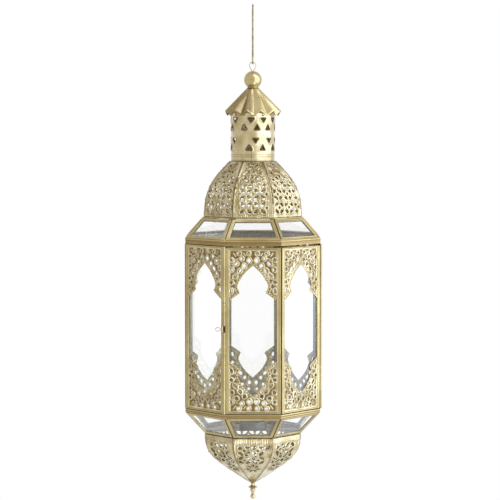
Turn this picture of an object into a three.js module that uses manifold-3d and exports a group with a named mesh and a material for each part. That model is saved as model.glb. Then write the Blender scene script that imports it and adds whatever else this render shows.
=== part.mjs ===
// A hanging candle lantern: an eight-sided body of brass channels that hold clear glass and pierced
// brass sheet, with a pierced dome, chimney and pleated cap above it and a pierced bowl below.
// Sizes are in millimetres, +Z is up and the lantern's front faces -Y. The origin is the inside top
// of the S-hook's upper bend, the point that the whole lantern hangs from.
import * as THREE from "three";
import { mergeVertices } from "three/addons/utils/BufferGeometryUtils.js";
import Module from "manifold-3d";

const wasm = await Module();
wasm.setup();

// Everywhere
const GAP = 0.3; // left between pieces that touch on the real lantern
const SIDES = 8;
const ROUND = 16; // facets round a turned piece
const SHEET = 0.6; // brass sheet
const EDGE = 1; // least metal left beyond a slot
const PAST = 1; // how far a cutter runs past what it cuts

// S-hook and hanger loop
const HOOK_WIRE = 2.8;
const HOOK_REACH = 83.3; // from the inside of one bend to the inside of the other
const HOOK_TOP_R = 9; // inside radius of the upper bend
const HOOK_LOW_R = 3.2;
const HOOK_TOP_LEG = 13;
const HOOK_LOW_LEG = 12.4;
const LOOP_WIRE = 1.4;
const LOOP_WIDTH = 10.7;
const LOOP_HEIGHT = 13.8; // above the ball
const LOOP_ROOT = 3.5; // its two ends go this deep into the ball

// Ball finial and pleated cap
const BALL_R = 13.2;
const BALL_NECK_R = 7.9;
const BALL_TO_CAP = 24.5; // from the ball's top to the cap's top
const BALL_STEM_R = 3;
const BALL_STEM = 6;
const PLEATS = 12;
const CAP_TOP_R = 8;
const CAP_RIDGE_R = 42.5;
const CAP_RIDGE_DROP = 34.5;
const CAP_VALLEY_R = 38;
const CAP_VALLEY_DROP = 41.6;
const CAP_SHEET = 1;
const CAP_TURN = -13; // degrees from the front to the first ridge

// Chimney
const CHIMNEY_R = 32.4;
const CHIMNEY_SHEET = 0.9;
const CHIMNEY_SHOWN = 73.6;
const CHIMNEY_ROOT = 3; // the part that stands inside the dome
const CHIMNEY_HOLES = 20; // per row, turn and turn about point down and point up
const CHIMNEY_ROWS = [18.3, 48]; // from its top to the centres of the two rows
const CHIMNEY_HOLE_W = 9.6;
const CHIMNEY_HOLE_H = 7.4;
const CHIMNEY_HOLE_STEP = 8.6; // between the two lines of holes in one row

// Dome of eight gores
const DOME_BASE_R = 71.4; // to the middle of a side, as every radius of an eight-sided piece is
const DOME_HEIGHT = 81.3;
const DOME_TOP_SLOPE_W = 30.5; // from the shoulder point of its curve in to the chimney
const DOME_STRAIGHT = 36;
const DOME_CURVE_Z = 50;
const GORE_SHEET = 0.9;
const GORE_STEPS = 9;

// Sloped shoulder with eight panes
const DOME_LEDGE = 2.2; // from the dome's base out to the shoulder's top edge
const SHOULDER_DROP = 29.7;
const SHOULDER_LIP = 0.7; // upright edge above the slope
const RING_INSET = 0.4; // both ring bars, above and below the body, lie this far inside its faces
const RING_TOP_H = 8.1;
const RING_LOW_H = 5.6;
const RING_DEPTH = 6;

// Body
const BODY_R = 100;
const BODY_H = 243.7;
const CHANNEL_LIP = 0.6; // outer wall of every channel
const CHANNEL_BACK = 0.7; // inner wall
const GLASS = 1.8;
const STILE = 6.6; // seen width of an upright
const RAIL = 2.9; // seen height of a top or bottom rail
const TUCK = 3.4; // how far glass and sheet reach into their channel
const SLOPE_STILE = 5.4; // seen width of the channels round a sloped pane
const SLOPE_TUCK = 2.6;
const GROOVE = 1.6; // side of the V cut down each corner

// Door, its hinge and its latch, on the corners beside the front and right-front sides
const DOOR_GAP = 0.5;
const DOOR_SLIT = 1.8; // open slit above the door
const SLEEVE_R = 1.7;
const SLEEVE_BORE_R = 1.05;
const PIN_R = 0.75;
const SLEEVE_GAP = 0.5;
const HINGE_SLEEVE = 156; // the door's sleeve, midway between the two fixed ones
const HINGE_SLEEVE_TOP = 42.5; // from the body's top
const LATCH_SLEEVE = 75.6;
const LATCH_SLEEVE_TOP = 81.9;
const NOTCH = 10; // the opening in the middle of the door's latch sleeve
const BOLT_BITE = 2.6; // reach of each bolt into its fixed sleeve
const BOLT_SHOWN = 1.3; // end of each bolt that shows in the notch
const PULL_LENGTH = 13.4;
const PULL_LOOP_R = 2.7;
const PULL_NECK = 3;

// Fretwork sheets: the arch and its piercings, from the centre line and from the rail
const ARCH_APEX = 23.2;
const ARCH_TIP = [11.3, 33.9];
const ARCH_WAIST = [21.8, 53.5];
const ARCH_CUSP = [18.5, 62.7];
const ARCH_FOOT = 74.4;
const FRET_HOLE = 4.6;
const FRET_HOLES = [[20.1, 6.9], [6.2, 6.9], [31.1, 15.2], [23.9, 24.6], [30.8, 38], [31.2, 56]];

// Sloped lower part, bowl and finial
const SLOPE_DROP = 34;
const BOWL_R = 70.4;
const BOWL_HEIGHT = 77;
const BOWL_TIP_R = 5.5;
const BOWL_STRAIGHT = 30;
const BOWL_CURVE_Z = 36;
const BOWL_CURVE_IN = 8;
const BOWL_LEDGE = 9; // width of the ledge that the candle strap lies on
const BOWL_RING_H = 4.2;
const LEDGE_SHEET = 1;
const FINIAL_R = 7;
const FINIAL_NECK_R = 3.1;
const FINIAL_BEAD_R = 3.7;
const FINIAL_LENGTH = 26.5; // below the bowl's tip
const FINIAL_PLUG = 5; // above the bowl's tip
const FINIAL_DISC_DROP = 8.5; // from the bowl's tip to the disc's widest line
const FINIAL_DISC_H = 2.4;

// Gore and bowl piercings
const GORE_HOLE = 5.6;
const GORE_HOLE_ACROSS = 11;
const DOME_HOLE_ROWS = [[16, 1], [33, 1], [50, 1], [66, 0], [80, 0]];
const BOWL_HOLE_ROWS = [[16, 1], [33, 1], [56, 0]];

const HOLE_CUT = 8; // length of the cutter that pierces curved sheet

// Candle cup and its strap
const CUP_R = 20.5;
const CUP_H = 12;
const CUP_SHEET = 0.8;
const CUP_FLOOR = 1;
const STRAP_W = 19;
const STRAP_T = 1.5;

const HALF_SIDE = Math.PI / SIDES;
const TURN = 2 * HALF_SIDE;
const CORNER = 1 / Math.cos(HALF_SIDE); // corner radius of an eight-sided ring over its side radius
const FACE = Math.tan(HALF_SIDE); // half a side's width over its side radius
const DOOR_SIDES = [0, 1]; // sides are counted from the front, anticlockwise from above
const LATCH_CORNER = -Math.PI / 2 - HALF_SIDE;
const HINGE_CORNER = LATCH_CORNER + DOOR_SIDES.length * TURN;
const RING_R = BODY_R - RING_INSET;
const SHOULDER_TOP_R = DOME_BASE_R + DOME_LEDGE;

// Heights, worked down from the hook
const LOOP_AXIS_Z = -HOOK_REACH + GAP + LOOP_WIRE / 2; // the lantern swings about the loop's wire here
const BALL_TOP_Z = LOOP_AXIS_Z + LOOP_WIRE / 2 - LOOP_HEIGHT;
const BALL_Z = BALL_TOP_Z - BALL_R;
const CAP_Z = BALL_TOP_Z - BALL_TO_CAP;
const VALLEY_FALL = CAP_VALLEY_DROP / (CAP_VALLEY_R - CAP_TOP_R);
const CHIMNEY_Z = CAP_Z - VALLEY_FALL * (CHIMNEY_R - CAP_TOP_R) - CAP_SHEET - GAP;
const DOME_TOP_Z = CHIMNEY_Z - CHIMNEY_SHOWN;
const DOME_Z = DOME_TOP_Z - DOME_HEIGHT;
const SHOULDER_Z = DOME_Z - GAP;
const RING_TOP_Z = SHOULDER_Z - SHOULDER_LIP - SHOULDER_DROP;
const BODY_Z = RING_TOP_Z - RING_TOP_H - GAP;
const BODY_LOW_Z = BODY_Z - BODY_H;
const RING_LOW_Z = BODY_LOW_Z - GAP;
const SLOPE_Z = RING_LOW_Z - RING_LOW_H;
const BOWL_RING_Z = SLOPE_Z - SLOPE_DROP;
const BOWL_Z = BOWL_RING_Z - GAP;
const TIP_Z = BOWL_Z - BOWL_HEIGHT;
const STRAP_Z = BOWL_RING_Z + LEDGE_SHEET + GAP;
const CUP_Z = STRAP_Z + STRAP_T + GAP;
const DOOR_Z = BODY_Z - DOOR_SLIT;
const DOOR_LOW_Z = BODY_LOW_Z + GAP;
const NOTCH_Z = BODY_Z - LATCH_SLEEVE_TOP - LATCH_SLEEVE / 2;

// Depths below a face's outer surface
const FRET_DEPTH = CHANNEL_LIP + GAP;
const BODY_GLASS_DEPTH = FRET_DEPTH + SHEET + GAP;
const BODY_SLOT_END = BODY_GLASS_DEPTH + GLASS + GAP;
const BODY_WALL = BODY_SLOT_END + CHANNEL_BACK;
const SLOPE_GLASS_DEPTH = CHANNEL_LIP + GAP;
const SLOPE_SLOT_END = SLOPE_GLASS_DEPTH + GLASS + GAP;
const SLOPE_WALL = SLOPE_SLOT_END + CHANNEL_BACK;

// Materials
const brass = new THREE.MeshStandardMaterial({ color: 0xc9b27c, roughness: 0.35, metalness: 0.9 });
const darkBrass = new THREE.MeshStandardMaterial({ color: 0xa88f58, roughness: 0.45, metalness: 0.9 });
const glass = new THREE.MeshStandardMaterial({
  color: 0xf2f6f6,
  roughness: 0.05,
  metalness: 0,
  transparent: true,
  opacity: 0.25,
});

// A closed geometry as a solid that can be cut and joined
function solid(geometry) {
  const bare = geometry.clone();
  for (const name of Object.keys(bare.attributes)) {
    if (name !== "position") bare.deleteAttribute(name);
  }
  const merged = mergeVertices(bare, 1e-4);
  const triVerts = new Uint32Array(merged.index.array);
  const vertProperties = merged.attributes.position.array;
  return new wasm.Manifold(new wasm.Mesh({ numProp: 3, vertProperties, triVerts }));
}

// A solid as a geometry again, with flat faces
function geometryOf(made) {
  const mesh = made.getMesh();
  const indexed = new THREE.BufferGeometry();
  indexed.setAttribute("position", new THREE.BufferAttribute(mesh.vertProperties, 3));
  indexed.setIndex(new THREE.BufferAttribute(mesh.triVerts, 1));
  const flat = indexed.toNonIndexed();
  flat.computeVertexNormals();
  return flat;
}

const join = (...solids) => solids.reduce((sum, next) => sum.add(next));
const cut = (from, ...solids) => solids.reduce((left, next) => left.subtract(next), from);

// A profile of [radius, z] points turned round Z, with a flat side to the front where it has 8 sides
function turned(profile, segments) {
  const points = profile.map(([r, z]) => new THREE.Vector2(r, z));
  if (THREE.ShapeUtils.area(points) < 0) points.reverse();
  const closed = points[0].x === 0 && points.at(-1).x === 0 ? points : [...points, points[0].clone()];
  const lathe = new THREE.LatheGeometry(closed, segments, Math.PI / segments);
  return lathe.rotateX(Math.PI / 2);
}

// The same for an eight-sided piece, whose radii are to the middle of a side
const octagon = (profile) => turned(profile.map(([r, z]) => [r * CORNER, z]), SIDES);

// An outline in plan, pushed up from z to z + height
function prism(outline, z, height) {
  const shape = new THREE.Shape(outline.map(([x, y]) => new THREE.Vector2(x, y)));
  return new THREE.ExtrudeGeometry(shape, { depth: height, bevelEnabled: false }).translate(0, 0, z);
}

// An upright round bar between two heights
function bar(radius, low, high, x, y, segments = 12) {
  const made = new THREE.CylinderGeometry(radius, radius, high - low, segments);
  return made.rotateX(Math.PI / 2).translate(x, y, (high + low) / 2);
}

// Wire of a round section along a path
function wire(path, diameter, steps, sides) {
  const section = new THREE.Shape();
  for (let i = 0; i < sides; i++) {
    const angle = (2 * Math.PI * i) / sides;
    const place = [(Math.cos(angle) * diameter) / 2, (Math.sin(angle) * diameter) / 2];
    if (i) section.lineTo(...place);
    else section.moveTo(...place);
  }
  return new THREE.ExtrudeGeometry(section, { steps, extrudePath: path, bevelEnabled: false });
}

const corner = (radius, angle) => [radius * CORNER * Math.cos(angle), radius * CORNER * Math.sin(angle)];

// A wedge in plan between two angles, its straight edges moved out by spread
function wedge(from, to, spread, z, height) {
  const middle = (from + to) / 2;
  const back = spread / Math.sin((to - from) / 2);
  const reach = 3 * BODY_R;
  const apex = [-back * Math.cos(middle), -back * Math.sin(middle)];
  const along = (angle) => [apex[0] + reach * Math.cos(angle), apex[1] + reach * Math.sin(angle)];
  return prism([apex, along(from), along(to)], z, height);
}

// The plane of the front side of an eight-sided piece between two rings [radius, z], low one first
function frontPlane([lowR, lowZ], [highR, highZ]) {
  const across = new THREE.Vector3(1, 0, 0);
  const up = new THREE.Vector3(0, lowR - highR, highZ - lowZ);
  const length = up.length();
  up.normalize();
  const out = across.clone().cross(up);
  const matrix = new THREE.Matrix4().makeBasis(across, up, out).setPosition(0, -lowR, lowZ);
  return { matrix, length, lowHalf: lowR * FACE, highHalf: highR * FACE };
}

// The four corners of a side's outline, drawn in by stile at its sides and by rail above and below
function sideOutline(plane, stile, rail) {
  const slant = Math.hypot(plane.length, plane.lowHalf - plane.highHalf) / plane.length;
  const half = (w) => THREE.MathUtils.lerp(plane.lowHalf, plane.highHalf, w / plane.length) - stile * slant;
  const low = rail;
  const high = plane.length - rail;
  return [[-half(low), low], [half(low), low], [half(high), high], [-half(high), high]];
}

// A slab of that outline between two depths under the side's outer surface
function slab(plane, stile, rail, from, to) {
  return prism(sideOutline(plane, stile, rail), -to, to - from).applyMatrix4(plane.matrix);
}

// Copies of a solid on the given sides
const onSides = (made, sides) => sides.map((side) => made.rotate([0, 0, (side * 360) / SIDES]));

// Window and channel cut through a frame's front side
function windowCut(plane, stile, rail, tuck, slotFrom, slotTo, wall) {
  const opening = slab(plane, stile, rail, -PAST, wall + PAST);
  const slot = slab(plane, stile - tuck - GAP, rail - Math.min(tuck, rail - EDGE) - GAP, slotFrom, slotTo);
  return join(solid(opening), solid(slot));
}

function mesh(name, geometry, material, side = 0) {
  const made = new THREE.Mesh(geometry, material);
  made.name = name;
  made.rotation.z = side * TURN;
  return made;
}

// The hook lies in the YZ plane: its upper bend opens to the front and its lower bend to the back.
function hook() {
  const topR = HOOK_TOP_R + HOOK_WIRE / 2;
  const lowR = HOOK_LOW_R + HOOK_WIRE / 2;
  const topZ = -HOOK_TOP_R;
  const lowZ = -HOOK_REACH + HOOK_LOW_R;
  const lean = Math.asin((topR + lowR) / (topZ - lowZ));
  const at = (z, r, angle) => new THREE.Vector3(0, r * Math.cos(angle), z + r * Math.sin(angle));
  const path = new THREE.CurvePath();
  const arc = (z, r, from, to) => {
    const count = 12;
    for (let i = 0; i < count; i++) {
      const a = THREE.MathUtils.lerp(from, to, i / count);
      const b = THREE.MathUtils.lerp(from, to, (i + 1) / count);
      path.add(new THREE.LineCurve3(at(z, r, a), at(z, r, b)));
    }
  };
  path.add(new THREE.LineCurve3(new THREE.Vector3(0, -topR, topZ - HOOK_TOP_LEG), at(topZ, topR, Math.PI)));
  arc(topZ, topR, Math.PI, -lean);
  path.add(new THREE.LineCurve3(at(topZ, topR, -lean), at(lowZ, lowR, Math.PI - lean)));
  arc(lowZ, lowR, Math.PI - lean, 2 * Math.PI);
  path.add(new THREE.LineCurve3(at(lowZ, lowR, 0), new THREE.Vector3(0, lowR, lowZ + HOOK_LOW_LEG)));
  return wire(path, HOOK_WIRE, 52, 8);
}

// The drop-shaped loop lies in the XZ plane, with its two ends in the ball.
function hangerLoop() {
  const half = (LOOP_WIDTH - LOOP_WIRE) / 2;
  const root = LOOP_WIRE / 2 + GAP;
  const bellyZ = LOOP_AXIS_Z - half * 1.15;
  const side = [
    [root, BALL_TOP_Z - LOOP_ROOT],
    [root, BALL_TOP_Z - LOOP_ROOT / 2],
    [root, BALL_TOP_Z],
    [half * 0.78, (BALL_TOP_Z + bellyZ) / 2],
    [half, bellyZ],
    [half * 0.72, LOOP_AXIS_Z - half * 0.32],
  ];
  const right = side.map(([x, z]) => new THREE.Vector3(x, 0, z));
  const left = side.map(([x, z]) => new THREE.Vector3(-x, 0, z)).reverse();
  const top = new THREE.Vector3(0, 0, LOOP_AXIS_Z);
  return wire(new THREE.CatmullRomCurve3([...right, top, ...left]), LOOP_WIRE, 28, 6);
}

function ballFinial() {
  const profile = [];
  const socketR = LOOP_WIRE + 2 * GAP;
  const socketZ = BALL_TOP_Z - LOOP_ROOT - GAP;
  const first = Math.asin(socketR / BALL_R);
  const last = Math.PI - Math.asin(BALL_NECK_R / BALL_R);
  profile.push([0, socketZ], [socketR, socketZ]);
  for (let i = 0; i <= 10; i++) {
    const angle = THREE.MathUtils.lerp(first, last, i / 10);
    profile.push([BALL_R * Math.sin(angle), BALL_Z + BALL_R * Math.cos(angle)]);
  }
  profile.push([BALL_NECK_R, CAP_Z + GAP], [BALL_STEM_R, CAP_Z + GAP]);
  profile.push([BALL_STEM_R, CAP_Z - BALL_STEM], [0, CAP_Z - BALL_STEM]);
  return turned(profile, ROUND);
}

// Pleats run from a flat collar under the ball to ridges and valleys at the rim.
function pleatedCap() {
  const lines = 2 * PLEATS;
  const rings = [
    () => [BALL_STEM_R + GAP, 0],
    () => [CAP_TOP_R, 0],
    (ridge) => (ridge ? [CAP_RIDGE_R, CAP_RIDGE_DROP] : [CAP_VALLEY_R, CAP_VALLEY_DROP]),
  ];
  const vertices = [];
  for (const below of [0, CAP_SHEET]) {
    for (const ring of rings) {
      for (let i = 0; i < lines; i++) {
        const [r, drop] = ring(i % 2 === 0);
        const angle = -Math.PI / 2 + THREE.MathUtils.degToRad(CAP_TURN) + (2 * Math.PI * i) / lines;
        vertices.push(r * Math.cos(angle), r * Math.sin(angle), CAP_Z - drop - below);
      }
    }
  }
  const at = (layer, ring, i) => (layer * rings.length + ring) * lines + (i % lines);
  const faces = [];
  const quad = (a, b, c, d) => faces.push(a, b, c, a, c, d);
  for (let i = 0; i < lines; i++) {
    for (let ring = 0; ring < rings.length - 1; ring++) {
      quad(at(0, ring, i), at(0, ring + 1, i), at(0, ring + 1, i + 1), at(0, ring, i + 1));
      quad(at(1, ring, i), at(1, ring, i + 1), at(1, ring + 1, i + 1), at(1, ring + 1, i));
    }
    const rim = rings.length - 1;
    quad(at(0, rim, i), at(1, rim, i), at(1, rim, i + 1), at(0, rim, i + 1));
    quad(at(0, 0, i), at(0, 0, i + 1), at(1, 0, i + 1), at(1, 0, i));
  }
  const geometry = new THREE.BufferGeometry();
  geometry.setAttribute("position", new THREE.Float32BufferAttribute(vertices, 3));
  geometry.setIndex(faces);
  const flat = geometry.toNonIndexed();
  flat.computeVertexNormals();
  return flat;
}

function chimney() {
  const inner = CHIMNEY_R - CHIMNEY_SHEET;
  const low = DOME_TOP_Z - CHIMNEY_ROOT;
  const wall = [[inner, low], [CHIMNEY_R, low], [CHIMNEY_R, CHIMNEY_Z], [inner, CHIMNEY_Z]];
  let made = solid(turned(wall, 2 * CHIMNEY_HOLES));
  const half = CHIMNEY_HOLE_W / 2;
  for (const row of CHIMNEY_ROWS) {
    for (let i = 0; i < CHIMNEY_HOLES; i++) {
      const point = i % 2 ? 1 : -1; // up or down
      const base = -point * (CHIMNEY_HOLE_H / 2);
      const outline = [[-half, base], [half, base], [0, -base]];
      const hole = prism(outline, CHIMNEY_R - HOLE_CUT / 2, HOLE_CUT).rotateX(Math.PI / 2);
      const z = CHIMNEY_Z - row - point * (CHIMNEY_HOLE_STEP / 2);
      hole.translate(0, 0, z).rotateZ((2 * Math.PI * i) / CHIMNEY_HOLES);
      made = cut(made, solid(hole));
    }
  }
  return geometryOf(made);
}

// The dome's outline, from its base up to the chimney, moved in by depth
function domeCurve() {
  const topR = CHIMNEY_R + GAP + GORE_SHEET;
  return new THREE.CubicBezierCurve(
    new THREE.Vector2(DOME_BASE_R, 0),
    new THREE.Vector2(DOME_BASE_R, DOME_STRAIGHT),
    new THREE.Vector2(topR + DOME_TOP_SLOPE_W, DOME_CURVE_Z),
    new THREE.Vector2(topR, DOME_HEIGHT),
  );
}

// The bowl's outline, from its rim down to its tip
function bowlCurve() {
  return new THREE.CubicBezierCurve(
    new THREE.Vector2(BOWL_R, 0),
    new THREE.Vector2(BOWL_R, -BOWL_STRAIGHT),
    new THREE.Vector2(BOWL_R - BOWL_CURVE_IN, -BOWL_CURVE_Z),
    new THREE.Vector2(BOWL_TIP_R, -BOWL_HEIGHT),
  );
}

// An eight-sided shell of a curve, as thick as sheet, inside it
function shell(curve, z, sheet) {
  const outer = [];
  const inner = [];
  for (let i = 0; i <= GORE_STEPS; i++) {
    const t = i / GORE_STEPS;
    const place = curve.getPoint(t);
    const tangent = curve.getTangent(t);
    const flat = i === 0 || i === GORE_STEPS; // its ends stay level
    const inward = flat ? new THREE.Vector2(-1, 0) : new THREE.Vector2(-Math.abs(tangent.y), 0);
    if (!flat) inward.y = Math.sign(tangent.y) * tangent.x;
    outer.push([place.x, z + place.y]);
    inner.push([place.x + inward.x * sheet, z + place.y + inward.y * sheet]);
  }
  return solid(octagon([...outer, ...inner.reverse()]));
}

// Piercings of the front side of a shell: [distance along the curve, 1 for a pair or 0 for one]
function piercings(curve, z, rows) {
  const total = curve.getLength();
  return rows.flatMap(([distance, pair]) => {
    const t = distance / total;
    const place = curve.getPointAt(t);
    const tangent = curve.getTangentAt(t);
    const offsets = pair ? [-GORE_HOLE_ACROSS, GORE_HOLE_ACROSS] : [0];
    return offsets.map((x) => {
      const hole = new THREE.CylinderGeometry(GORE_HOLE / 2, GORE_HOLE / 2, HOLE_CUT, 4);
      hole.rotateX(Math.atan2(tangent.x, Math.abs(tangent.y)) * Math.sign(tangent.y));
      return solid(hole.translate(x, -place.x, z + place.y));
    });
  });
}

function domeGore() {
  const curve = domeCurve();
  const front = -Math.PI / 2;
  const height = DOME_HEIGHT + 2 * PAST;
  const slice = wedge(front - HALF_SIDE, front + HALF_SIDE, -GAP / 2, DOME_Z - PAST, height);
  const strip = shell(curve, DOME_Z, GORE_SHEET).intersect(solid(slice));
  return geometryOf(cut(strip, ...piercings(curve, DOME_Z, DOME_HOLE_ROWS)));
}

function bowl() {
  const curve = bowlCurve();
  const holes = piercings(curve, BOWL_Z, BOWL_HOLE_ROWS);
  const all = holes.flatMap((hole) => onSides(hole, [...Array(SIDES).keys()]));
  return geometryOf(cut(shell(curve, BOWL_Z, GORE_SHEET), ...all));
}

const shoulderPlane = frontPlane([RING_R, RING_TOP_Z], [SHOULDER_TOP_R, SHOULDER_Z - SHOULDER_LIP]);
const slopePlane = frontPlane([BOWL_R, BOWL_RING_Z], [RING_R, SLOPE_Z]);
const everySide = [...Array(SIDES).keys()];

function slopedWindows(plane) {
  const cutter = windowCut(
    plane, SLOPE_STILE, SLOPE_STILE, SLOPE_TUCK, CHANNEL_LIP, SLOPE_SLOT_END, SLOPE_WALL,
  );
  return onSides(cutter, everySide);
}

// How far in from a sloped side's outer line its inner line lies, measured level
const levelWall = (plane) => SLOPE_WALL / Math.abs(plane.matrix.elements[9]);

// The upright inner face above the ledge, which the strap's ends stop short of
const ledgeWallR = BOWL_R - levelWall(slopePlane) + EDGE;

function shoulderFrame() {
  const top = SHOULDER_Z - SHOULDER_LIP;
  const ringLow = RING_TOP_Z - RING_TOP_H;
  const wall = levelWall(shoulderPlane);
  const made = octagon([
    [RING_R, ringLow],
    [RING_R, RING_TOP_Z],
    [SHOULDER_TOP_R, top],
    [SHOULDER_TOP_R, SHOULDER_Z],
    [SHOULDER_TOP_R - wall, SHOULDER_Z],
    [SHOULDER_TOP_R - wall, top],
    [RING_R - wall, RING_TOP_Z],
    [RING_R - RING_DEPTH, ringLow],
  ]);
  return geometryOf(cut(solid(made), ...slopedWindows(shoulderPlane)));
}

function lowerFrame() {
  const wall = levelWall(slopePlane);
  const low = BOWL_RING_Z + BOWL_RING_H;
  const made = octagon([
    [RING_R, RING_LOW_Z],
    [RING_R, SLOPE_Z],
    [BOWL_R, BOWL_RING_Z],
    [BOWL_R - BOWL_LEDGE, BOWL_RING_Z],
    [BOWL_R - BOWL_LEDGE, BOWL_RING_Z + LEDGE_SHEET],
    [ledgeWallR, BOWL_RING_Z + LEDGE_SHEET],
    [ledgeWallR, low],
    [RING_R - wall, SLOPE_Z],
    [RING_R - RING_DEPTH, RING_LOW_Z],
  ]);
  return geometryOf(cut(solid(made), ...slopedWindows(slopePlane)));
}

function slopedGlass(plane) {
  const depth = SLOPE_GLASS_DEPTH;
  return slab(plane, SLOPE_STILE - SLOPE_TUCK, SLOPE_STILE - SLOPE_TUCK, depth, depth + GLASS);
}

const bodyPlane = frontPlane([BODY_R, BODY_LOW_Z], [BODY_R, BODY_Z]);
const doorPlane = frontPlane([BODY_R, DOOR_LOW_Z], [BODY_R, DOOR_Z]);

// The eight-sided wall between two heights, as deep as a channel
const bodyWall = (low, high) =>
  solid(octagon([[BODY_R - BODY_WALL, low], [BODY_R, low], [BODY_R, high], [BODY_R - BODY_WALL, high]]));

function bodyWindows(plane, sides) {
  const cutter = windowCut(plane, STILE, RAIL, TUCK, CHANNEL_LIP, BODY_SLOT_END, BODY_WALL);
  return onSides(cutter, sides);
}

// A V groove down the corner at an angle
function groove(angle) {
  const [x, y] = corner(BODY_R, angle);
  const made = new THREE.BoxGeometry(GROOVE, GROOVE, BODY_H + 2 * PAST);
  return solid(made.rotateZ(angle + Math.PI / 4).translate(x, y, (BODY_Z + BODY_LOW_Z) / 2));
}

// The spans [low, high] of one corner's sleeves: the door's own, and the fixed ones above and below
function sleeveSpans(top, length) {
  const high = BODY_Z - top;
  const low = high - length;
  return {
    door: [low, high],
    fixed: [[high + SLEEVE_GAP, BODY_Z - GAP], [BODY_LOW_Z + GAP, low - SLEEVE_GAP]],
  };
}

const hingeSleeves = sleeveSpans(HINGE_SLEEVE_TOP, HINGE_SLEEVE);
const latchSleeves = sleeveSpans(LATCH_SLEEVE_TOP, LATCH_SLEEVE);

// Round bars at a corner over some spans, each made longer by extra at both ends
const cornerBars = (angle, radius, spans, extra = 0) =>
  spans.map(([low, high]) => solid(bar(radius, low - extra, high + extra, ...corner(BODY_R, angle))));

const bore = (angle) => cornerBars(angle, SLEEVE_BORE_R, [[BODY_LOW_Z, BODY_Z]], PAST)[0];

function bodyFrame() {
  let made = bodyWall(BODY_LOW_Z, BODY_Z);
  const doorway = wedge(LATCH_CORNER, HINGE_CORNER, DOOR_GAP / 2, BODY_LOW_Z - PAST, BODY_H + 2 * PAST);
  const fixedSides = everySide.filter((side) => !DOOR_SIDES.includes(side));
  made = cut(made, solid(doorway), ...bodyWindows(bodyPlane, fixedSides));
  for (let i = 1; i < fixedSides.length; i++) made = cut(made, groove(HINGE_CORNER + i * TURN));
  for (const [angle, spans] of [[HINGE_CORNER, hingeSleeves], [LATCH_CORNER, latchSleeves]]) {
    made = cut(made, ...cornerBars(angle, SLEEVE_R + GAP, [spans.door], SLEEVE_GAP));
    made = join(made, ...cornerBars(angle, SLEEVE_R, spans.fixed));
    made = cut(made, bore(angle));
  }
  return geometryOf(made);
}

function doorFrame() {
  const inside = wedge(LATCH_CORNER, HINGE_CORNER, -DOOR_GAP / 2, DOOR_LOW_Z - PAST, BODY_H + 2 * PAST);
  let made = bodyWall(DOOR_LOW_Z, DOOR_Z).intersect(solid(inside));
  made = cut(made, ...bodyWindows(doorPlane, DOOR_SIDES));
  for (let i = 1; i < DOOR_SIDES.length; i++) made = cut(made, groove(LATCH_CORNER + i * TURN));
  for (const [angle, spans] of [[HINGE_CORNER, hingeSleeves], [LATCH_CORNER, latchSleeves]]) {
    made = cut(made, ...cornerBars(angle, SLEEVE_R + GAP, spans.fixed, SLEEVE_GAP));
    made = join(made, ...cornerBars(angle, SLEEVE_R, [spans.door]));
    made = cut(made, bore(angle));
  }
  const notch = [NOTCH_Z - NOTCH / 2, NOTCH_Z + NOTCH / 2];
  return geometryOf(cut(made, ...cornerBars(LATCH_CORNER, SLEEVE_R + GAP, [notch])));
}

function hingePin() {
  return bar(PIN_R, BODY_LOW_Z + GAP, BODY_Z - GAP, ...corner(BODY_R, HINGE_CORNER));
}

// One of the latch's two bolts: up is 1 for the upper one and -1 for the lower one
function latchBolt(up) {
  const near = NOTCH_Z + up * (NOTCH / 2 - BOLT_SHOWN);
  const far = NOTCH_Z + up * (LATCH_SLEEVE / 2 + SLEEVE_GAP + BOLT_BITE);
  return bar(PIN_R, Math.min(near, far), Math.max(near, far), ...corner(BODY_R, LATCH_CORNER));
}

// The latch's pull is one bent wire: a leg beside each bolt's end, a neck, and a loop to the left.
function latchPull() {
  const [x, y] = corner(BODY_R, LATCH_CORNER);
  const beside = 2 * PIN_R + GAP; // its legs stand beside the bolts, clear of their travel
  const neckHalf = PIN_R + GAP / 6;
  const bendX = PULL_LENGTH - PIN_R - PULL_LOOP_R;
  const upper = [
    [beside, NOTCH / 2 - PIN_R],
    [beside + GAP, NOTCH / 2 - 3 * PIN_R],
    [PULL_NECK, neckHalf],
    [(PULL_NECK + bendX) / 2, (neckHalf + PULL_LOOP_R) / 2],
    [bendX, PULL_LOOP_R],
  ];
  const place = ([u, w]) => new THREE.Vector3(x - u, y, NOTCH_Z + w);
  const mirrored = upper.map(([u, w]) => [u, -w]).reverse();
  const path = new THREE.CatmullRomCurve3([...upper, [bendX + PULL_LOOP_R, 0], ...mirrored].map(place));
  return wire(path, 2 * PIN_R, 36, 6);
}

// The edge of the sheet's opening from its left rail to its right rail, as [x, distance from the rail]
function archPoints() {
  const edge = BODY_R * FACE - STILE;
  const half = [[edge, ARCH_FOOT], ARCH_CUSP];
  const lobe = new THREE.QuadraticBezierCurve(
    new THREE.Vector2(...ARCH_CUSP),
    new THREE.Vector2(...ARCH_WAIST).multiplyScalar(2)
      .addScaledVector(new THREE.Vector2(...ARCH_CUSP), -0.5)
      .addScaledVector(new THREE.Vector2(...ARCH_TIP), -0.5),
    new THREE.Vector2(...ARCH_TIP),
  );
  for (let i = 1; i <= 5; i++) half.push(lobe.getPoint(i / 5).toArray());
  half.push([0, ARCH_APEX]);
  return half;
}

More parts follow.
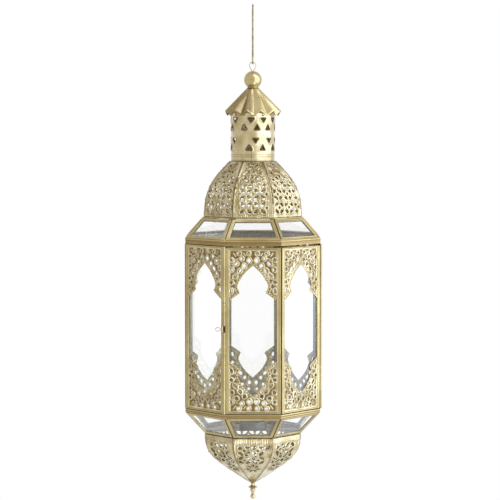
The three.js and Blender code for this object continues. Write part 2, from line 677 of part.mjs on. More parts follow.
// The pierced sheet of one side of the body: an arch above, its mirror image below
function fretSheet(plane) {
  const edge = plane.lowHalf - STILE + TUCK;
  const reach = RAIL - EDGE;
  const high = plane.length - RAIL;
  const shape = new THREE.Shape([
    new THREE.Vector2(-edge, RAIL - reach),
    new THREE.Vector2(edge, RAIL - reach),
    new THREE.Vector2(edge, high + reach),
    new THREE.Vector2(-edge, high + reach),
  ]);
  const half = archPoints();
  const left = half.slice(0, -1).map(([x, d]) => [-x, d]);
  const across = [...left, half.at(-1), ...half.slice(0, -1).reverse()];
  const upper = across.map(([x, d]) => new THREE.Vector2(x, high - d));
  const lower = across.map(([x, d]) => new THREE.Vector2(x, RAIL + d)).reverse();
  shape.holes.push(new THREE.Path([...upper, ...lower]));
  const r = FRET_HOLE / 2;
  for (const [x, d] of FRET_HOLES) {
    for (const side of [-1, 1]) {
      for (const y of [high - d, RAIL + d]) {
        const diamond = [[r, 0], [0, r], [-r, 0], [0, -r]];
        shape.holes.push(new THREE.Path(diamond.map(([a, b]) => new THREE.Vector2(side * x + a, y + b))));
      }
    }
  }
  const sheet = new THREE.ExtrudeGeometry(shape, { depth: SHEET, bevelEnabled: false });
  return sheet.translate(0, 0, -FRET_DEPTH - SHEET).applyMatrix4(plane.matrix);
}

function bodyGlass(plane) {
  const rail = RAIL - Math.min(TUCK, RAIL - EDGE);
  return slab(plane, STILE - TUCK, rail, BODY_GLASS_DEPTH, BODY_GLASS_DEPTH + GLASS);
}

// The finial's plug fills the bowl's open tip; below it come a neck, a disc, a spindle and a bead.
function bottomFinial() {
  const end = TIP_Z - FINIAL_LENGTH;
  const beadZ = end + FINIAL_BEAD_R;
  const discZ = TIP_Z - FINIAL_DISC_DROP;
  const plugR = BOWL_TIP_R - GORE_SHEET - GAP;
  const discEdge = FINIAL_DISC_H / 2;
  const profile = [
    [0, TIP_Z + FINIAL_PLUG],
    [plugR, TIP_Z + FINIAL_PLUG],
    [plugR, TIP_Z - GAP],
    [FINIAL_NECK_R, TIP_Z - FINIAL_NECK_R / 2],
    [FINIAL_NECK_R, discZ + FINIAL_DISC_H],
    [FINIAL_R - discEdge / 2, discZ + discEdge],
    [FINIAL_R, discZ],
    [FINIAL_R - discEdge / 2, discZ - discEdge],
    [FINIAL_BEAD_R, discZ - FINIAL_DISC_H],
    [FINIAL_BEAD_R / 2, beadZ + FINIAL_BEAD_R],
  ];
  for (let i = 1; i < 6; i++) {
    const angle = Math.PI / 2 - (i * Math.PI) / 6;
    profile.push([FINIAL_BEAD_R * Math.cos(angle), beadZ + FINIAL_BEAD_R * Math.sin(angle)]);
  }
  profile.push([0, end]);
  return turned(profile, ROUND);
}

// The strap lies on the ledge of the lower frame from left to right.
function candleStrap() {
  const length = 2 * (ledgeWallR - GAP);
  return new THREE.BoxGeometry(length, STRAP_W, STRAP_T).translate(0, 0, STRAP_Z + STRAP_T / 2);
}

function candleCup() {
  const inner = CUP_R - CUP_SHEET;
  const top = CUP_Z + CUP_H;
  const floor = CUP_Z + CUP_FLOOR;
  return turned([[0, CUP_Z], [CUP_R, CUP_Z], [CUP_R, top], [inner, top], [inner, floor], [0, floor]], 24);
}

const lantern = new THREE.Group();
lantern.name = "hanging_candle_lantern";

lantern.add(mesh("hanging_hook", hook(), brass));
lantern.add(mesh("hanger_loop", hangerLoop(), brass));
lantern.add(mesh("ball_finial", ballFinial(), brass));
lantern.add(mesh("pleated_cap", pleatedCap(), brass));
lantern.add(mesh("chimney", chimney(), brass));
lantern.add(mesh("shoulder_frame", shoulderFrame(), brass));
lantern.add(mesh("body_frame", bodyFrame(), brass));
lantern.add(mesh("lower_frame", lowerFrame(), brass));
lantern.add(mesh("bowl", bowl(), brass));
lantern.add(mesh("bottom_finial", bottomFinial(), brass));
lantern.add(mesh("candle_strap", candleStrap(), darkBrass));
lantern.add(mesh("candle_cup", candleCup(), darkBrass));
lantern.add(mesh("door_frame", doorFrame(), brass));
lantern.add(mesh("hinge_pin", hingePin(), darkBrass));
lantern.add(mesh("latch_pull", latchPull(), brass));
lantern.add(mesh("latch_bolt_upper", latchBolt(1), darkBrass));
lantern.add(mesh("latch_bolt_lower", latchBolt(-1), darkBrass));

const gore = domeGore();
const shoulderPane = slopedGlass(shoulderPlane);
const slopePane = slopedGlass(slopePlane);
const fixedFret = fretSheet(bodyPlane);
const doorFret = fretSheet(doorPlane);
const fixedPane = bodyGlass(bodyPlane);
const doorPane = bodyGlass(doorPlane);
for (const side of everySide) {
  const number = side + 1;
  const inDoor = DOOR_SIDES.includes(side);
  lantern.add(mesh(`dome_gore_${number}`, gore, brass, side));
  lantern.add(mesh(`shoulder_glass_${number}`, shoulderPane, glass, side));
  lantern.add(mesh(`fret_panel_${number}`, inDoor ? doorFret : fixedFret, brass, side));
  lantern.add(mesh(`body_glass_${number}`, inDoor ? doorPane : fixedPane, glass, side));
  lantern.add(mesh(`lower_glass_${number}`, slopePane, glass, side));
}

export default lantern;
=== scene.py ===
# %% [markdown]
# A hanging candle lantern of pierced brass and clear glass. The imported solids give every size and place;
# this lesson dresses them: bent wire, turned brass, folded channels, pierced and embossed sheet, and glass.
# Everything is in metres with +Z up, and the front of the lantern faces -Y. Sizes written here are in
# millimetres, as on a maker's drawing, and are turned into metres when a mesh is made.

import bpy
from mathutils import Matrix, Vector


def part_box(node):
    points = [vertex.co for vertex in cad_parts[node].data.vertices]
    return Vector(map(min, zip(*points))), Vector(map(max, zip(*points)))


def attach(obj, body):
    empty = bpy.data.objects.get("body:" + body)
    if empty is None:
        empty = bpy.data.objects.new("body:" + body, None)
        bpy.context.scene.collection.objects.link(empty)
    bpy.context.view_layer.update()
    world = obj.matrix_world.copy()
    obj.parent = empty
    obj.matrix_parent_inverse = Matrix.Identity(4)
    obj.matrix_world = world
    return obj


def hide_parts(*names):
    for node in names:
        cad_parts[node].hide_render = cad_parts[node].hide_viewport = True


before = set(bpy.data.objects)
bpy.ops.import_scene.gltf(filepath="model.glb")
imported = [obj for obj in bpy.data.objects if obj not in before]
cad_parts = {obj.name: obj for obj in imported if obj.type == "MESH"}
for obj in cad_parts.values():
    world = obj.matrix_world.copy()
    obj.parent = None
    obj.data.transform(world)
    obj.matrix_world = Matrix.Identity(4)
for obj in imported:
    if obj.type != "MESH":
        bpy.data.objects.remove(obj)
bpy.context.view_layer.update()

import math
from functools import partial

import bmesh
import bpy
import numpy as np
from mathutils import Vector
from mathutils.geometry import delaunay_2d_cdt

MM = 0.001
SIDES = 8
TURN = 2 * math.pi / SIDES
FACE = math.tan(TURN / 2)  # half a side's width over its distance from the middle
CORNER = 1 / math.cos(TURN / 2)


def top_of(node):
    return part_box(node)[1].z / MM


def foot_of(node):
    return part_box(node)[0].z / MM


def angles_round(count):
    """Angles at even steps round a full turn."""
    return np.arange(count) * 2 * math.pi / count


# %% [markdown]
# The photograph was taken from about 2.7 m, a little above the lantern's middle and looking slightly down.
# A long lens keeps the upright lines upright, so the camera is only tilted and needs no shift.

# %% Camera
CAMERA_AT = (-4.18, -2717.2, -166.9)
CAMERA_TILT = 4.0917  # degrees below the horizon
CAMERA_LENS = 131.6

camera = bpy.data.objects.new("camera", bpy.data.cameras.new("camera"))
camera.data.lens = CAMERA_LENS
camera.data.sensor_width = 36
camera.location = Vector(CAMERA_AT) * MM
camera.rotation_euler = (math.radians(90 - CAMERA_TILT), 0, 0)
camera.data.clip_start, camera.data.clip_end = 0.05, 50
bpy.context.scene.collection.objects.link(camera)
bpy.context.scene.camera = camera

# %% [markdown]
# Old brass isn't one colour. It has soft cloudy patches, a warm brown film that stays in every groove and
# corner because polishing never reaches it, and a paler rubbed metal on what stands proud. One node group
# makes all of that, and each finish gives it its own colours. The meshes carry an attribute named recess,
# 1 in a groove and 0 on open metal, which tells the group where the brown film lies, and up to 2 where dirt
# has filled a seam. Below 0 it says that the metal faces the inside, where nobody lacquered it and it has
# gone grey.
# Some pieces also lay this film, and a little dirt, as painted shade: one side of each cap pleat, the ball, the
# dome's upper half, the cut edges of the sheets and rings beside the dome's relief.

# %% Node helpers


def feed(tree, node, inputs):
    """Sets a node's inputs, by name or number: each gets a value, or a link from a socket."""
    for key, value in dict(inputs).items():
        if isinstance(value, bpy.types.NodeSocket):
            tree.links.new(value, node.inputs[key])
        else:
            node.inputs[key].default_value = value
    return node


def add_node(tree, kind, inputs=(), **settings):
    made = tree.nodes.new(kind)
    for key, value in settings.items():
        setattr(made, key, value)
    return feed(tree, made, inputs)


def maths(tree, operation, *values):
    return add_node(tree, "ShaderNodeMath", enumerate(values), operation=operation).outputs[0]


def clamped(tree, value):
    return maths(tree, "MAXIMUM", maths(tree, "MINIMUM", value, 1.0), 0.0)


def ramp(tree, value, low, high, **settings):
    """0 up to low, 1 from high on, and a steady rise between them."""
    span = {"From Min": low, "From Max": high, "To Min": 0.0, "To Max": 1.0}
    return add_node(tree, "ShaderNodeMapRange", {"Value": value, **span}, **settings).outputs[0]


def noise(tree, scale, detail):
    place = add_node(tree, "ShaderNodeTexCoord").outputs["Object"]
    inputs = {"Vector": place, "Scale": scale, "Detail": detail}
    return add_node(tree, "ShaderNodeTexNoise", inputs).outputs[0]


def bumps(tree, strength, depth, height):
    inputs = {"Strength": strength, "Distance": depth, "Height": height}
    return add_node(tree, "ShaderNodeBump", inputs).outputs[0]


def blend_colours(tree, share, first, second):
    return add_node(tree, "ShaderNodeMix", {0: share, 6: first, 7: second}, data_type="RGBA").outputs[2]


def new_material(name, inputs):
    """A material with its tree, its Principled shader, which gets the inputs, and its output node."""
    made = bpy.data.materials.new(name)
    made.use_nodes = True
    tree = made.node_tree
    shader = next(n for n in tree.nodes if n.type == "BSDF_PRINCIPLED")
    out = next(n for n in tree.nodes if n.type == "OUTPUT_MATERIAL")
    return made, tree, feed(tree, shader, inputs), out


def rgb(r, g, b):
    """A colour as it shows on screen, 0 to 255, as the linear colour that a shader wants."""
    linear = [(c / 255 / 12.92) if c <= 10 else ((c / 255 + 0.055) / 1.055) ** 2.4 for c in (r, g, b)]
    return (*linear, 1.0)


# %% The aged metal group
SOCKETS_IN = {
    "Metal": ("NodeSocketColor", rgb(196, 174, 124)),
    "Cloud": ("NodeSocketColor", rgb(160, 138, 92)),
    "Film": ("NodeSocketColor", rgb(120, 88, 42)),
    "Dirt": ("NodeSocketColor", rgb(58, 43, 18)),
    "Inside": ("NodeSocketColor", rgb(190, 180, 150)),
    "Recess": ("NodeSocketFloat", 0.0),
    "Cloud size": ("NodeSocketFloat", 45.0),
    "Cloudiness": ("NodeSocketFloat", 0.6),
    "Polish": ("NodeSocketFloat", 0.24),
    "Dullness": ("NodeSocketFloat", 0.46),
    "Grain": ("NodeSocketFloat", 1.0),
}
SOCKETS_OUT = {"Color": "NodeSocketColor", "Roughness": "NodeSocketFloat", "Height": "NodeSocketFloat"}
SPECK_SCALE, GRAIN_SCALE = 520.0, 1500.0  # like the cloud sizes, in spots per metre


def aged_metal_group():
    tree = bpy.data.node_groups.new("aged_metal", "ShaderNodeTree")
    calc = partial(maths, tree)
    for name, (kind, value) in SOCKETS_IN.items():
        tree.interface.new_socket(name, in_out="INPUT", socket_type=kind).default_value = value
    for name, kind in SOCKETS_OUT.items():
        tree.interface.new_socket(name, in_out="OUTPUT", socket_type=kind)
    given = add_node(tree, "NodeGroupInput").outputs
    clouds = noise(tree, given["Cloud size"], 5.0)
    speck = ramp(tree, noise(tree, SPECK_SCALE, 3.0), 0.42, 0.72)
    share = calc("MULTIPLY", ramp(tree, clouds, 0.34, 0.66), given["Cloudiness"])
    share = calc("MINIMUM", calc("MULTIPLY_ADD", speck, 0.22, share), 1.0)
    colour = blend_colours(tree, share, given["Metal"], given["Cloud"])
    groove = calc("MAXIMUM", given["Recess"], 0.0)
    film = clamped(tree, calc("MULTIPLY", calc("MULTIPLY_ADD", speck, 0.35, groove), groove))
    dirt = clamped(tree, calc("SUBTRACT", given["Recess"], 1.0))
    inner = calc("MAXIMUM", calc("MULTIPLY", given["Recess"], -1.0), 0.0)
    for part, name in ((film, "Film"), (dirt, "Dirt"), (inner, "Inside")):
        colour = blend_colours(tree, part, colour, given[name])
    span = calc("SUBTRACT", given["Dullness"], given["Polish"])
    rough = calc("MULTIPLY_ADD", calc("MAXIMUM", share, film), span, given["Polish"])
    height = calc("MULTIPLY_ADD", clouds, 0.6, noise(tree, GRAIN_SCALE, 2.0))
    height = calc("MULTIPLY", height, given["Grain"])
    add_node(tree, "NodeGroupOutput", {"Color": colour, "Roughness": rough, "Height": height})
    return tree


AGED_METAL = aged_metal_group()
METALLIC, LACQUER, LACQUER_ROUGHNESS = 0.85, 0.6, 0.16
BUMP, BUMP_DEPTH = 0.25, 0.0002


def metal(name, **values):
    """A brass finish: the group's outputs feed one Principled shader."""
    made, tree, shader, _ = new_material(
        name, {"Metallic": METALLIC, "Coat Weight": LACQUER, "Coat Roughness": LACQUER_ROUGHNESS})
    inputs = {key.replace("_", " "): value for key, value in values.items()}
    inputs["Recess"] = add_node(tree, "ShaderNodeAttribute", attribute_name="recess").outputs["Fac"]
    aged = add_node(tree, "ShaderNodeGroup", inputs, node_tree=AGED_METAL).outputs
    lumps = bumps(tree, BUMP, BUMP_DEPTH, aged["Height"])
    feed(tree, shader, {"Base Color": aged["Color"], "Roughness": aged["Roughness"], "Normal": lumps})
    return made


SHEET_BRASS = metal(
    "sheet_brass", Metal=rgb(211, 197, 156), Cloud=rgb(159, 138, 85), Film=rgb(102, 77, 27),
    Inside=rgb(186, 169, 126), Cloud_size=60.0, Cloudiness=0.75, Polish=0.2, Dullness=0.42,
)
CHANNEL_BRASS = metal(
    "channel_brass", Metal=rgb(186, 168, 114), Cloud=rgb(144, 124, 74), Film=rgb(130, 98, 34),
    Inside=rgb(128, 121, 98), Cloud_size=35.0, Cloudiness=0.7, Polish=0.22, Dullness=0.4,
)
TURNED_BRASS = metal(
    "turned_brass", Metal=rgb(202, 184, 132), Cloud=rgb(158, 136, 82), Film=rgb(116, 90, 44),
    Cloud_size=45.0, Cloudiness=0.55, Polish=0.15, Dullness=0.32, Grain=0.12,
)
WIRE_BRASS = metal(
    "wire_brass", Metal=rgb(170, 154, 114), Cloud=rgb(108, 90, 54), Film=rgb(90, 70, 34),
    Cloud_size=120.0, Cloudiness=0.8, Polish=0.22, Dullness=0.4,
)
BRIGHT_WIRE = metal(
    "bright_wire", Metal=rgb(204, 190, 154), Cloud=rgb(164, 148, 110), Film=rgb(116, 94, 52),
    Cloud_size=120.0, Cloudiness=0.6, Polish=0.2, Dullness=0.34,
)
DULL_BRASS = metal(
    "dull_brass", Metal=rgb(164, 160, 146), Cloud=rgb(126, 120, 104), Film=rgb(88, 80, 60),
    Cloud_size=50.0, Cloudiness=0.8, Polish=0.34, Dullness=0.58,
)
metals = (SHEET_BRASS, CHANNEL_BRASS, TURNED_BRASS, WIRE_BRASS, BRIGHT_WIRE, DULL_BRASS)
print("metals:", [m.name for m in metals])

# %% [markdown]
# The panes are ordinary clear window glass. Light that only throws a shadow passes straight through them,
# because real thin glass hardly shades anything, so the shader turns plain transparent for shadow rays.

# %% Glass


def clear_glass():
    made, tree, shader, out = new_material("clear_glass", {
        "Base Color": (0.985, 0.99, 0.986, 1), "Roughness": 0.015, "IOR": 1.45, "Transmission Weight": 1.0})
    feed(tree, shader, {"Normal": bumps(tree, 0.05, 0.001, noise(tree, 18.0, 1.0))})
    shade = add_node(tree, "ShaderNodeLightPath").outputs["Is Shadow Ray"]
    clear = add_node(tree, "ShaderNodeBsdfTransparent", {"Color": (0.955, 0.96, 0.955, 1)})
    mix = add_node(tree, "ShaderNodeMixShader", {0: shade, 1: shader.outputs[0], 2: clear.outputs[0]})
    feed(tree, out, {"Surface": mix.outputs[0]})
    return made


CLEAR_GLASS = clear_glass()
panes = [o for name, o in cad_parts.items() if "_glass_" in name]
for pane in panes:
    pane.data.materials.clear()
    pane.data.materials.append(CLEAR_GLASS)
print("panes:", len(panes))

# %% [markdown]
# Every metal piece below is built from plain lists of points, so the maker's steps stay visible: draw an
# outline, cut it, emboss it, bend it. These helpers turn points into a mesh, give it its finish and place
# it on its body in the frame.

# %% Mesh helpers


def new_piece(name, points, faces, material, recess=None, smooth=40, edges=()):
    """A mesh object from points in millimetres. An edge bent by more than smooth degrees stays sharp."""
    mesh = bpy.data.meshes.new(name)
    mesh.from_pydata((np.asarray(points, float) * MM).tolist(), edges, [list(map(int, f)) for f in faces])
    if recess is not None:
        values = mesh.attributes.new("recess", "FLOAT", "POINT").data
        values.foreach_set("value", np.asarray(recess, np.float32))
    mesh.materials.append(material)
    if smooth:
        mesh.shade_smooth()
        mesh.set_sharp_from_angle(angle=math.radians(smooth))
    made = bpy.data.objects.new(name, mesh)
    bpy.context.scene.collection.objects.link(made)
    return made


def settle(piece, body, slot, *nodes):
    """The piece moves with its body and stands for its nodes, which are hidden. slot is not used."""
    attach(piece, body)
    if nodes:
        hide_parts(*nodes)
    return piece


def evaluated_mesh(piece):
    """Makes the piece's modifiers real, so that it is a plain mesh again."""
    graph = bpy.context.evaluated_depsgraph_get()
    shown = piece.evaluated_get(graph)
    mesh = bpy.data.meshes.new_from_object(shown, preserve_all_data_layers=True, depsgraph=graph)
    piece.modifiers.clear()
    piece.data = mesh
    return piece


def reworked(piece, work):
    """Runs some work on the piece's mesh, in the form that bmesh operators take."""
    graph = bmesh.new()
    graph.from_mesh(piece.data)
    work(graph)
    graph.to_mesh(piece.data)
    graph.free()
    return piece


def stacked(rings, count, closed=False):
    """Quads that join rings of count points, each to the next and, if closed, the last to the first."""
    faces = []
    for i in range(rings if closed else rings - 1):
        a, b = count * i, count * ((i + 1) % rings)
        faces += [(a + k, a + (k + 1) % count, b + (k + 1) % count, b + k) for k in range(count)]
    return faces


def lathe(profile, sides):
    """A profile of (radius, z, film) from the top down, turned round Z. Points on the axis become poles."""
    points, faces, film, rings = [], [], [], []
    for r, z, deep in profile:
        angles = angles_round(sides)[:sides if r > 1e-6 else 1]
        rings.append(range(len(points), len(points) + len(angles)))
        points += [(r * math.cos(angle), r * math.sin(angle), z) for angle in angles]
        film += [deep] * len(angles)
    for a, b in zip(rings, rings[1:]):
        for k in range(sides):
            n = (k + 1) % sides
            if len(a) > 1 and len(b) > 1:
                faces.append((a[k], b[k], b[n], a[n]))
            elif len(b) > 1:
                faces.append((a[0], b[k], b[n]))
            elif len(a) > 1:
                faces.append((a[k], b[0], a[n]))
    return points, faces, film


def turned(name, profile, sides, material):
    points, faces, film = lathe(profile, sides)
    return new_piece(name, points, faces, material, film)


def rod(path, radii, sides):
    """Round wire along a path, with its own radius at each point and closed ends."""
    path = np.asarray(path, float)
    along = np.gradient(path, axis=0)
    along /= np.linalg.norm(along, axis=1)[:, None]
    side = np.cross(along[0], (0.31, 0.77, 0.55))  # no wire here starts in this direction
    angles = angles_round(sides)[:, None]
    points = []
    for place, way, radius in zip(path, along, radii):
        side = side - way * np.dot(side, way)
        side /= np.linalg.norm(side)
        points += list(place + radius * (np.cos(angles) * side + np.sin(angles) * np.cross(way, side)))
    ends = [tuple(reversed(range(sides))), tuple(range(len(points) - sides, len(points)))]
    return points, stacked(len(path), sides) + ends


def rounded_ends(count, radius, ends=3):
    """Radii for a rod whose ends are filed round over its first and last few points."""
    radii = np.full(count, float(radius))
    for i in range(ends):
        radii[i] = radii[-1 - i] = radius * math.sin(math.pi / 2 * (i + 0.6) / (ends + 0.6))
    return radii


def through(points, step):
    """A smooth curve through some points, with a point about every step."""
    p = np.asarray(points, float)
    ends = np.vstack([2 * p[0] - p[1], p, 2 * p[-1] - p[-2]])
    out = []
    for i in range(1, len(ends) - 2):
        a, b, c, d = ends[i - 1 : i + 3]
        count = max(1, round(np.linalg.norm(c - b) / step))
        for t in np.arange(count) / count:
            curve = (2 * a - 5 * b + 4 * c - d) * t**2 + (3 * b - a - 3 * c + d) * t**3
            out.append(0.5 * (2 * b + (c - a) * t + curve))
    out.append(p[-1])
    return np.array(out)


# %% [markdown]
# The S-hook is one length of drawn wire, bent round two pegs and cut with pliers, so its ends are only
# roughly rounded. It hangs edge-on to the front. The drop-shaped loop that it holds is thinner wire whose
# two ends go down into the ball.

# %% S-hook and hanger loop
HOOK_WIRE, HOOK_TOP_R, HOOK_LOW_R = 2.8, 9.0, 3.2
HOOK_TOP_LEG, HOOK_LOW_LEG = 13.0, 12.4
LOOP_WIRE, LOOP_WIDTH, LOOP_ROOT = 1.4, 10.7, 3.5
HOOK_REACH = top_of("hanging_hook") - HOOK_WIRE - foot_of("hanging_hook") - HOOK_WIRE
BALL_TOP = top_of("ball_finial")
LOOP_AXIS = top_of("hanger_loop") - LOOP_WIRE / 2


def hook_path():
    top_r, low_r = HOOK_TOP_R + HOOK_WIRE / 2, HOOK_LOW_R + HOOK_WIRE / 2
    top_z = top_of("hanging_hook") - HOOK_WIRE / 2 - top_r
    low_z = foot_of("hanging_hook") + HOOK_WIRE / 2 + low_r
    lean = math.asin((top_r + low_r) / (top_z - low_z))
    at = lambda z, r, a: (0, r * math.cos(a), z + r * math.sin(a))
    line = lambda a, b, n: [tuple(np.array(a) + (np.array(b) - np.array(a)) * i / n) for i in range(n)]
    arc = lambda z, r, a, b, n: [at(z, r, a + (b - a) * i / n) for i in range(n)]
    path = line((0, -top_r, top_z - HOOK_TOP_LEG), at(top_z, top_r, math.pi), 10)
    path += arc(top_z, top_r, math.pi, -lean, 30)
    path += line(at(top_z, top_r, -lean), at(low_z, low_r, math.pi - lean), 40)
    path += arc(low_z, low_r, math.pi - lean, 2 * math.pi, 22)
    path += line(at(low_z, low_r, 0), (0, low_r, low_z + HOOK_LOW_LEG), 10)
    return path + [(0, low_r, low_z + HOOK_LOW_LEG)]


path = hook_path()
hook = new_piece("wire_hook", *rod(path, rounded_ends(len(path), HOOK_WIRE / 2), 20), WIRE_BRASS)
settle(hook, "hook", "brass_wire", "hanging_hook")

half = (LOOP_WIDTH - LOOP_WIRE) / 2
root = LOOP_WIRE / 2 + 0.3
belly = LOOP_AXIS - half * 1.15
right_half = [
    (root, 0, BALL_TOP - LOOP_ROOT), (root, 0, BALL_TOP - LOOP_ROOT / 2), (root, 0, BALL_TOP),
    (half * 0.78, 0, (BALL_TOP + belly) / 2), (half, 0, belly), (half * 0.72, 0, LOOP_AXIS - half * 0.32),
]
left_half = [(-x, y, z) for x, y, z in reversed(right_half)]
path = through([*right_half, (0, 0, LOOP_AXIS), *left_half], 0.7)
loop = new_piece("wire_loop", *rod(path, np.full(len(path), LOOP_WIRE / 2), 14), BRIGHT_WIRE)
settle(loop, "lantern", "brass_wire", "hanger_loop")
print("hook reach", round(HOOK_REACH, 1), "mm")

# %% [markdown]
# The ball is two raised half-shells soldered together on a flared neck. A fine seam runs round its middle. A
# brown film is laid over the whole ball, thickest over its top and thin underneath: painted shade, standing in
# for the dark reflections on the ball.

# %% Ball finial
BALL_R, BALL_NECK_R = 13.2, 7.9
BALL_CENTRE = BALL_TOP - BALL_R
CAP_TOP = top_of("pleated_cap")
SEAM_HALF, SEAM_DEPTH = 0.03, 0.22  # in radians and in millimetres


def ball_profile():
    rows = [(0, BALL_TOP - LOOP_ROOT, 1), (1.9, BALL_TOP - LOOP_ROOT, 1), (1.9, BALL_TOP - 0.6, 0.8)]
    start, end = math.asin(2.1 / BALL_R), math.pi - math.asin(BALL_NECK_R / BALL_R)
    for angle in np.linspace(start, end, 41):
        middle = abs(angle - math.pi / 2)
        seam = math.exp(-((middle / SEAM_HALF) ** 2))
        r = BALL_R - SEAM_DEPTH * seam
        # painted dark reflection: film over the whole ball, more over its top and less underneath
        ends = (0.4 if angle < math.pi / 2 else -0.3) * (middle / (math.pi / 2)) ** 2
        rows.append((r * math.sin(angle), BALL_CENTRE + r * math.cos(angle), 0.4 + 0.15 * seam + ends))
    neck_top = rows[-1][1]
    for t in (0.3, 0.55, 0.75, 0.9, 1.0):
        rows.append((BALL_NECK_R + 1.3 * t**3, neck_top + (CAP_TOP - 0.5 - neck_top) * t, 0.2 * (1 - t)))
    under = [(BALL_NECK_R + 0.9, 0.9), (3, 0.9), (3, 6), (0, 6)]
    return rows + [(r, CAP_TOP - down, 1) for r, down in under]


ball = turned("ball_on_neck", ball_profile(), 64, TURNED_BRASS)
settle(ball, "lantern", "brass_turned", "ball_finial")
print("ball across", 2 * BALL_R, "mm")

# %% [markdown]
# Geometry Nodes build what follows a rule. These helpers make a tree with named inputs, set them through
# the sockets' identifiers and turn the result into a plain mesh.

# %% Geometry Nodes helpers


def form_tree(name, inputs):
    tree = bpy.data.node_groups.new(name, "GeometryNodeTree")
    tree.interface.new_socket("Geometry", in_out="INPUT", socket_type="NodeSocketGeometry")
    for label, kind in inputs:
        tree.interface.new_socket(label, in_out="INPUT", socket_type="NodeSocket" + kind)
    tree.interface.new_socket("Geometry", in_out="OUTPUT", socket_type="NodeSocketGeometry")
    return tree, add_node(tree, "NodeGroupInput").outputs


def finish_tree(tree, geometry, material):
    """Every tree ends the same way: instances made real, then the material."""
    real = add_node(tree, "GeometryNodeRealizeInstances", {0: geometry}).outputs[0]
    painted = add_node(tree, "GeometryNodeSetMaterial", {"Geometry": real, "Material": material}).outputs[0]
    add_node(tree, "NodeGroupOutput", {0: painted})
    return tree


def grown(piece, tree, values):
    """Runs a tree on a piece with the given inputs and keeps the result as its mesh."""
    modifier = piece.modifiers.new("form", "NODES")
    modifier.node_group = tree
    for item in tree.interface.items_tree:
        if item.item_type == "SOCKET" and item.in_out == "INPUT" and item.name in values:
            modifier[item.identifier] = values[item.name]
    made = evaluated_mesh(piece)
    made.data.materials.clear()
    made.data.materials.append(values["Material"])
    made.data.polygons.foreach_set("material_index", np.zeros(len(made.data.polygons), np.int32))
    return made


def rounds_tree():
    """Copies of a piece turned about Z: Count of them, the first at First, each Step further on."""
    tree, given = form_tree(
        "copies_round", [("Count", "Int"), ("First", "Float"), ("Step", "Float"), ("Material", "Material")])
    spots = add_node(tree, "GeometryNodePoints", {"Count": given["Count"]})
    index = add_node(tree, "GeometryNodeInputIndex").outputs[0]
    angle = maths(tree, "MULTIPLY_ADD", index, given["Step"], given["First"])
    turn = add_node(tree, "ShaderNodeCombineXYZ", {"Z": angle})
    spin = add_node(tree, "FunctionNodeEulerToRotation", {0: turn.outputs[0]})
    copies = add_node(
        tree, "GeometryNodeInstanceOnPoints",
        {"Points": spots.outputs[0], "Instance": given["Geometry"], "Rotation": spin.outputs[0]},
    )
    return finish_tree(tree, copies.outputs[0], given["Material"])


COPIES_ROUND = rounds_tree()


def round_the_lantern(piece, sides):
    """The front side's piece, copied to the given sides, which are evenly spaced."""
    step = (sides[1] - sides[0]) * TURN if len(sides) > 1 else 0.0
    material = piece.data.materials[0]
    return grown(piece, COPIES_ROUND, {
        "Count": len(sides), "First": sides[0] * TURN, "Step": step, "Material": material,
    })


print("trees:", [t.name for t in bpy.data.node_groups])

# %% [markdown]
# The cap is one disc of sheet folded into twelve sharp pleats, like a paper fan. Its shape is a rule: going
# round, the radius and the drop swing between the ridge's and the valley's, and a softened triangle wave
# gives the folds their slightly rounded backs. So a grid is bent into the cap by Geometry Nodes.

# %% Pleated cap
PLEATS = 12
CAP_TURN = -13.0
CAP_SHEET = 1.0
CAP_TOP_R, CAP_RIDGE, CAP_VALLEY = 8.0, (42.5, 34.5), (38.0, 41.6)
FOLD = 0.996  # how sharp the folds are: at 1 they would have no round to their backs
PLEAT_SHADE_SIDE = -4.0  # which side of each pleat gets the film: painted shade, so that one side of every pleat reads as turned away from the light
VALLEY_FILM, PLEAT_SHADE_FILM = 0.7, 0.8


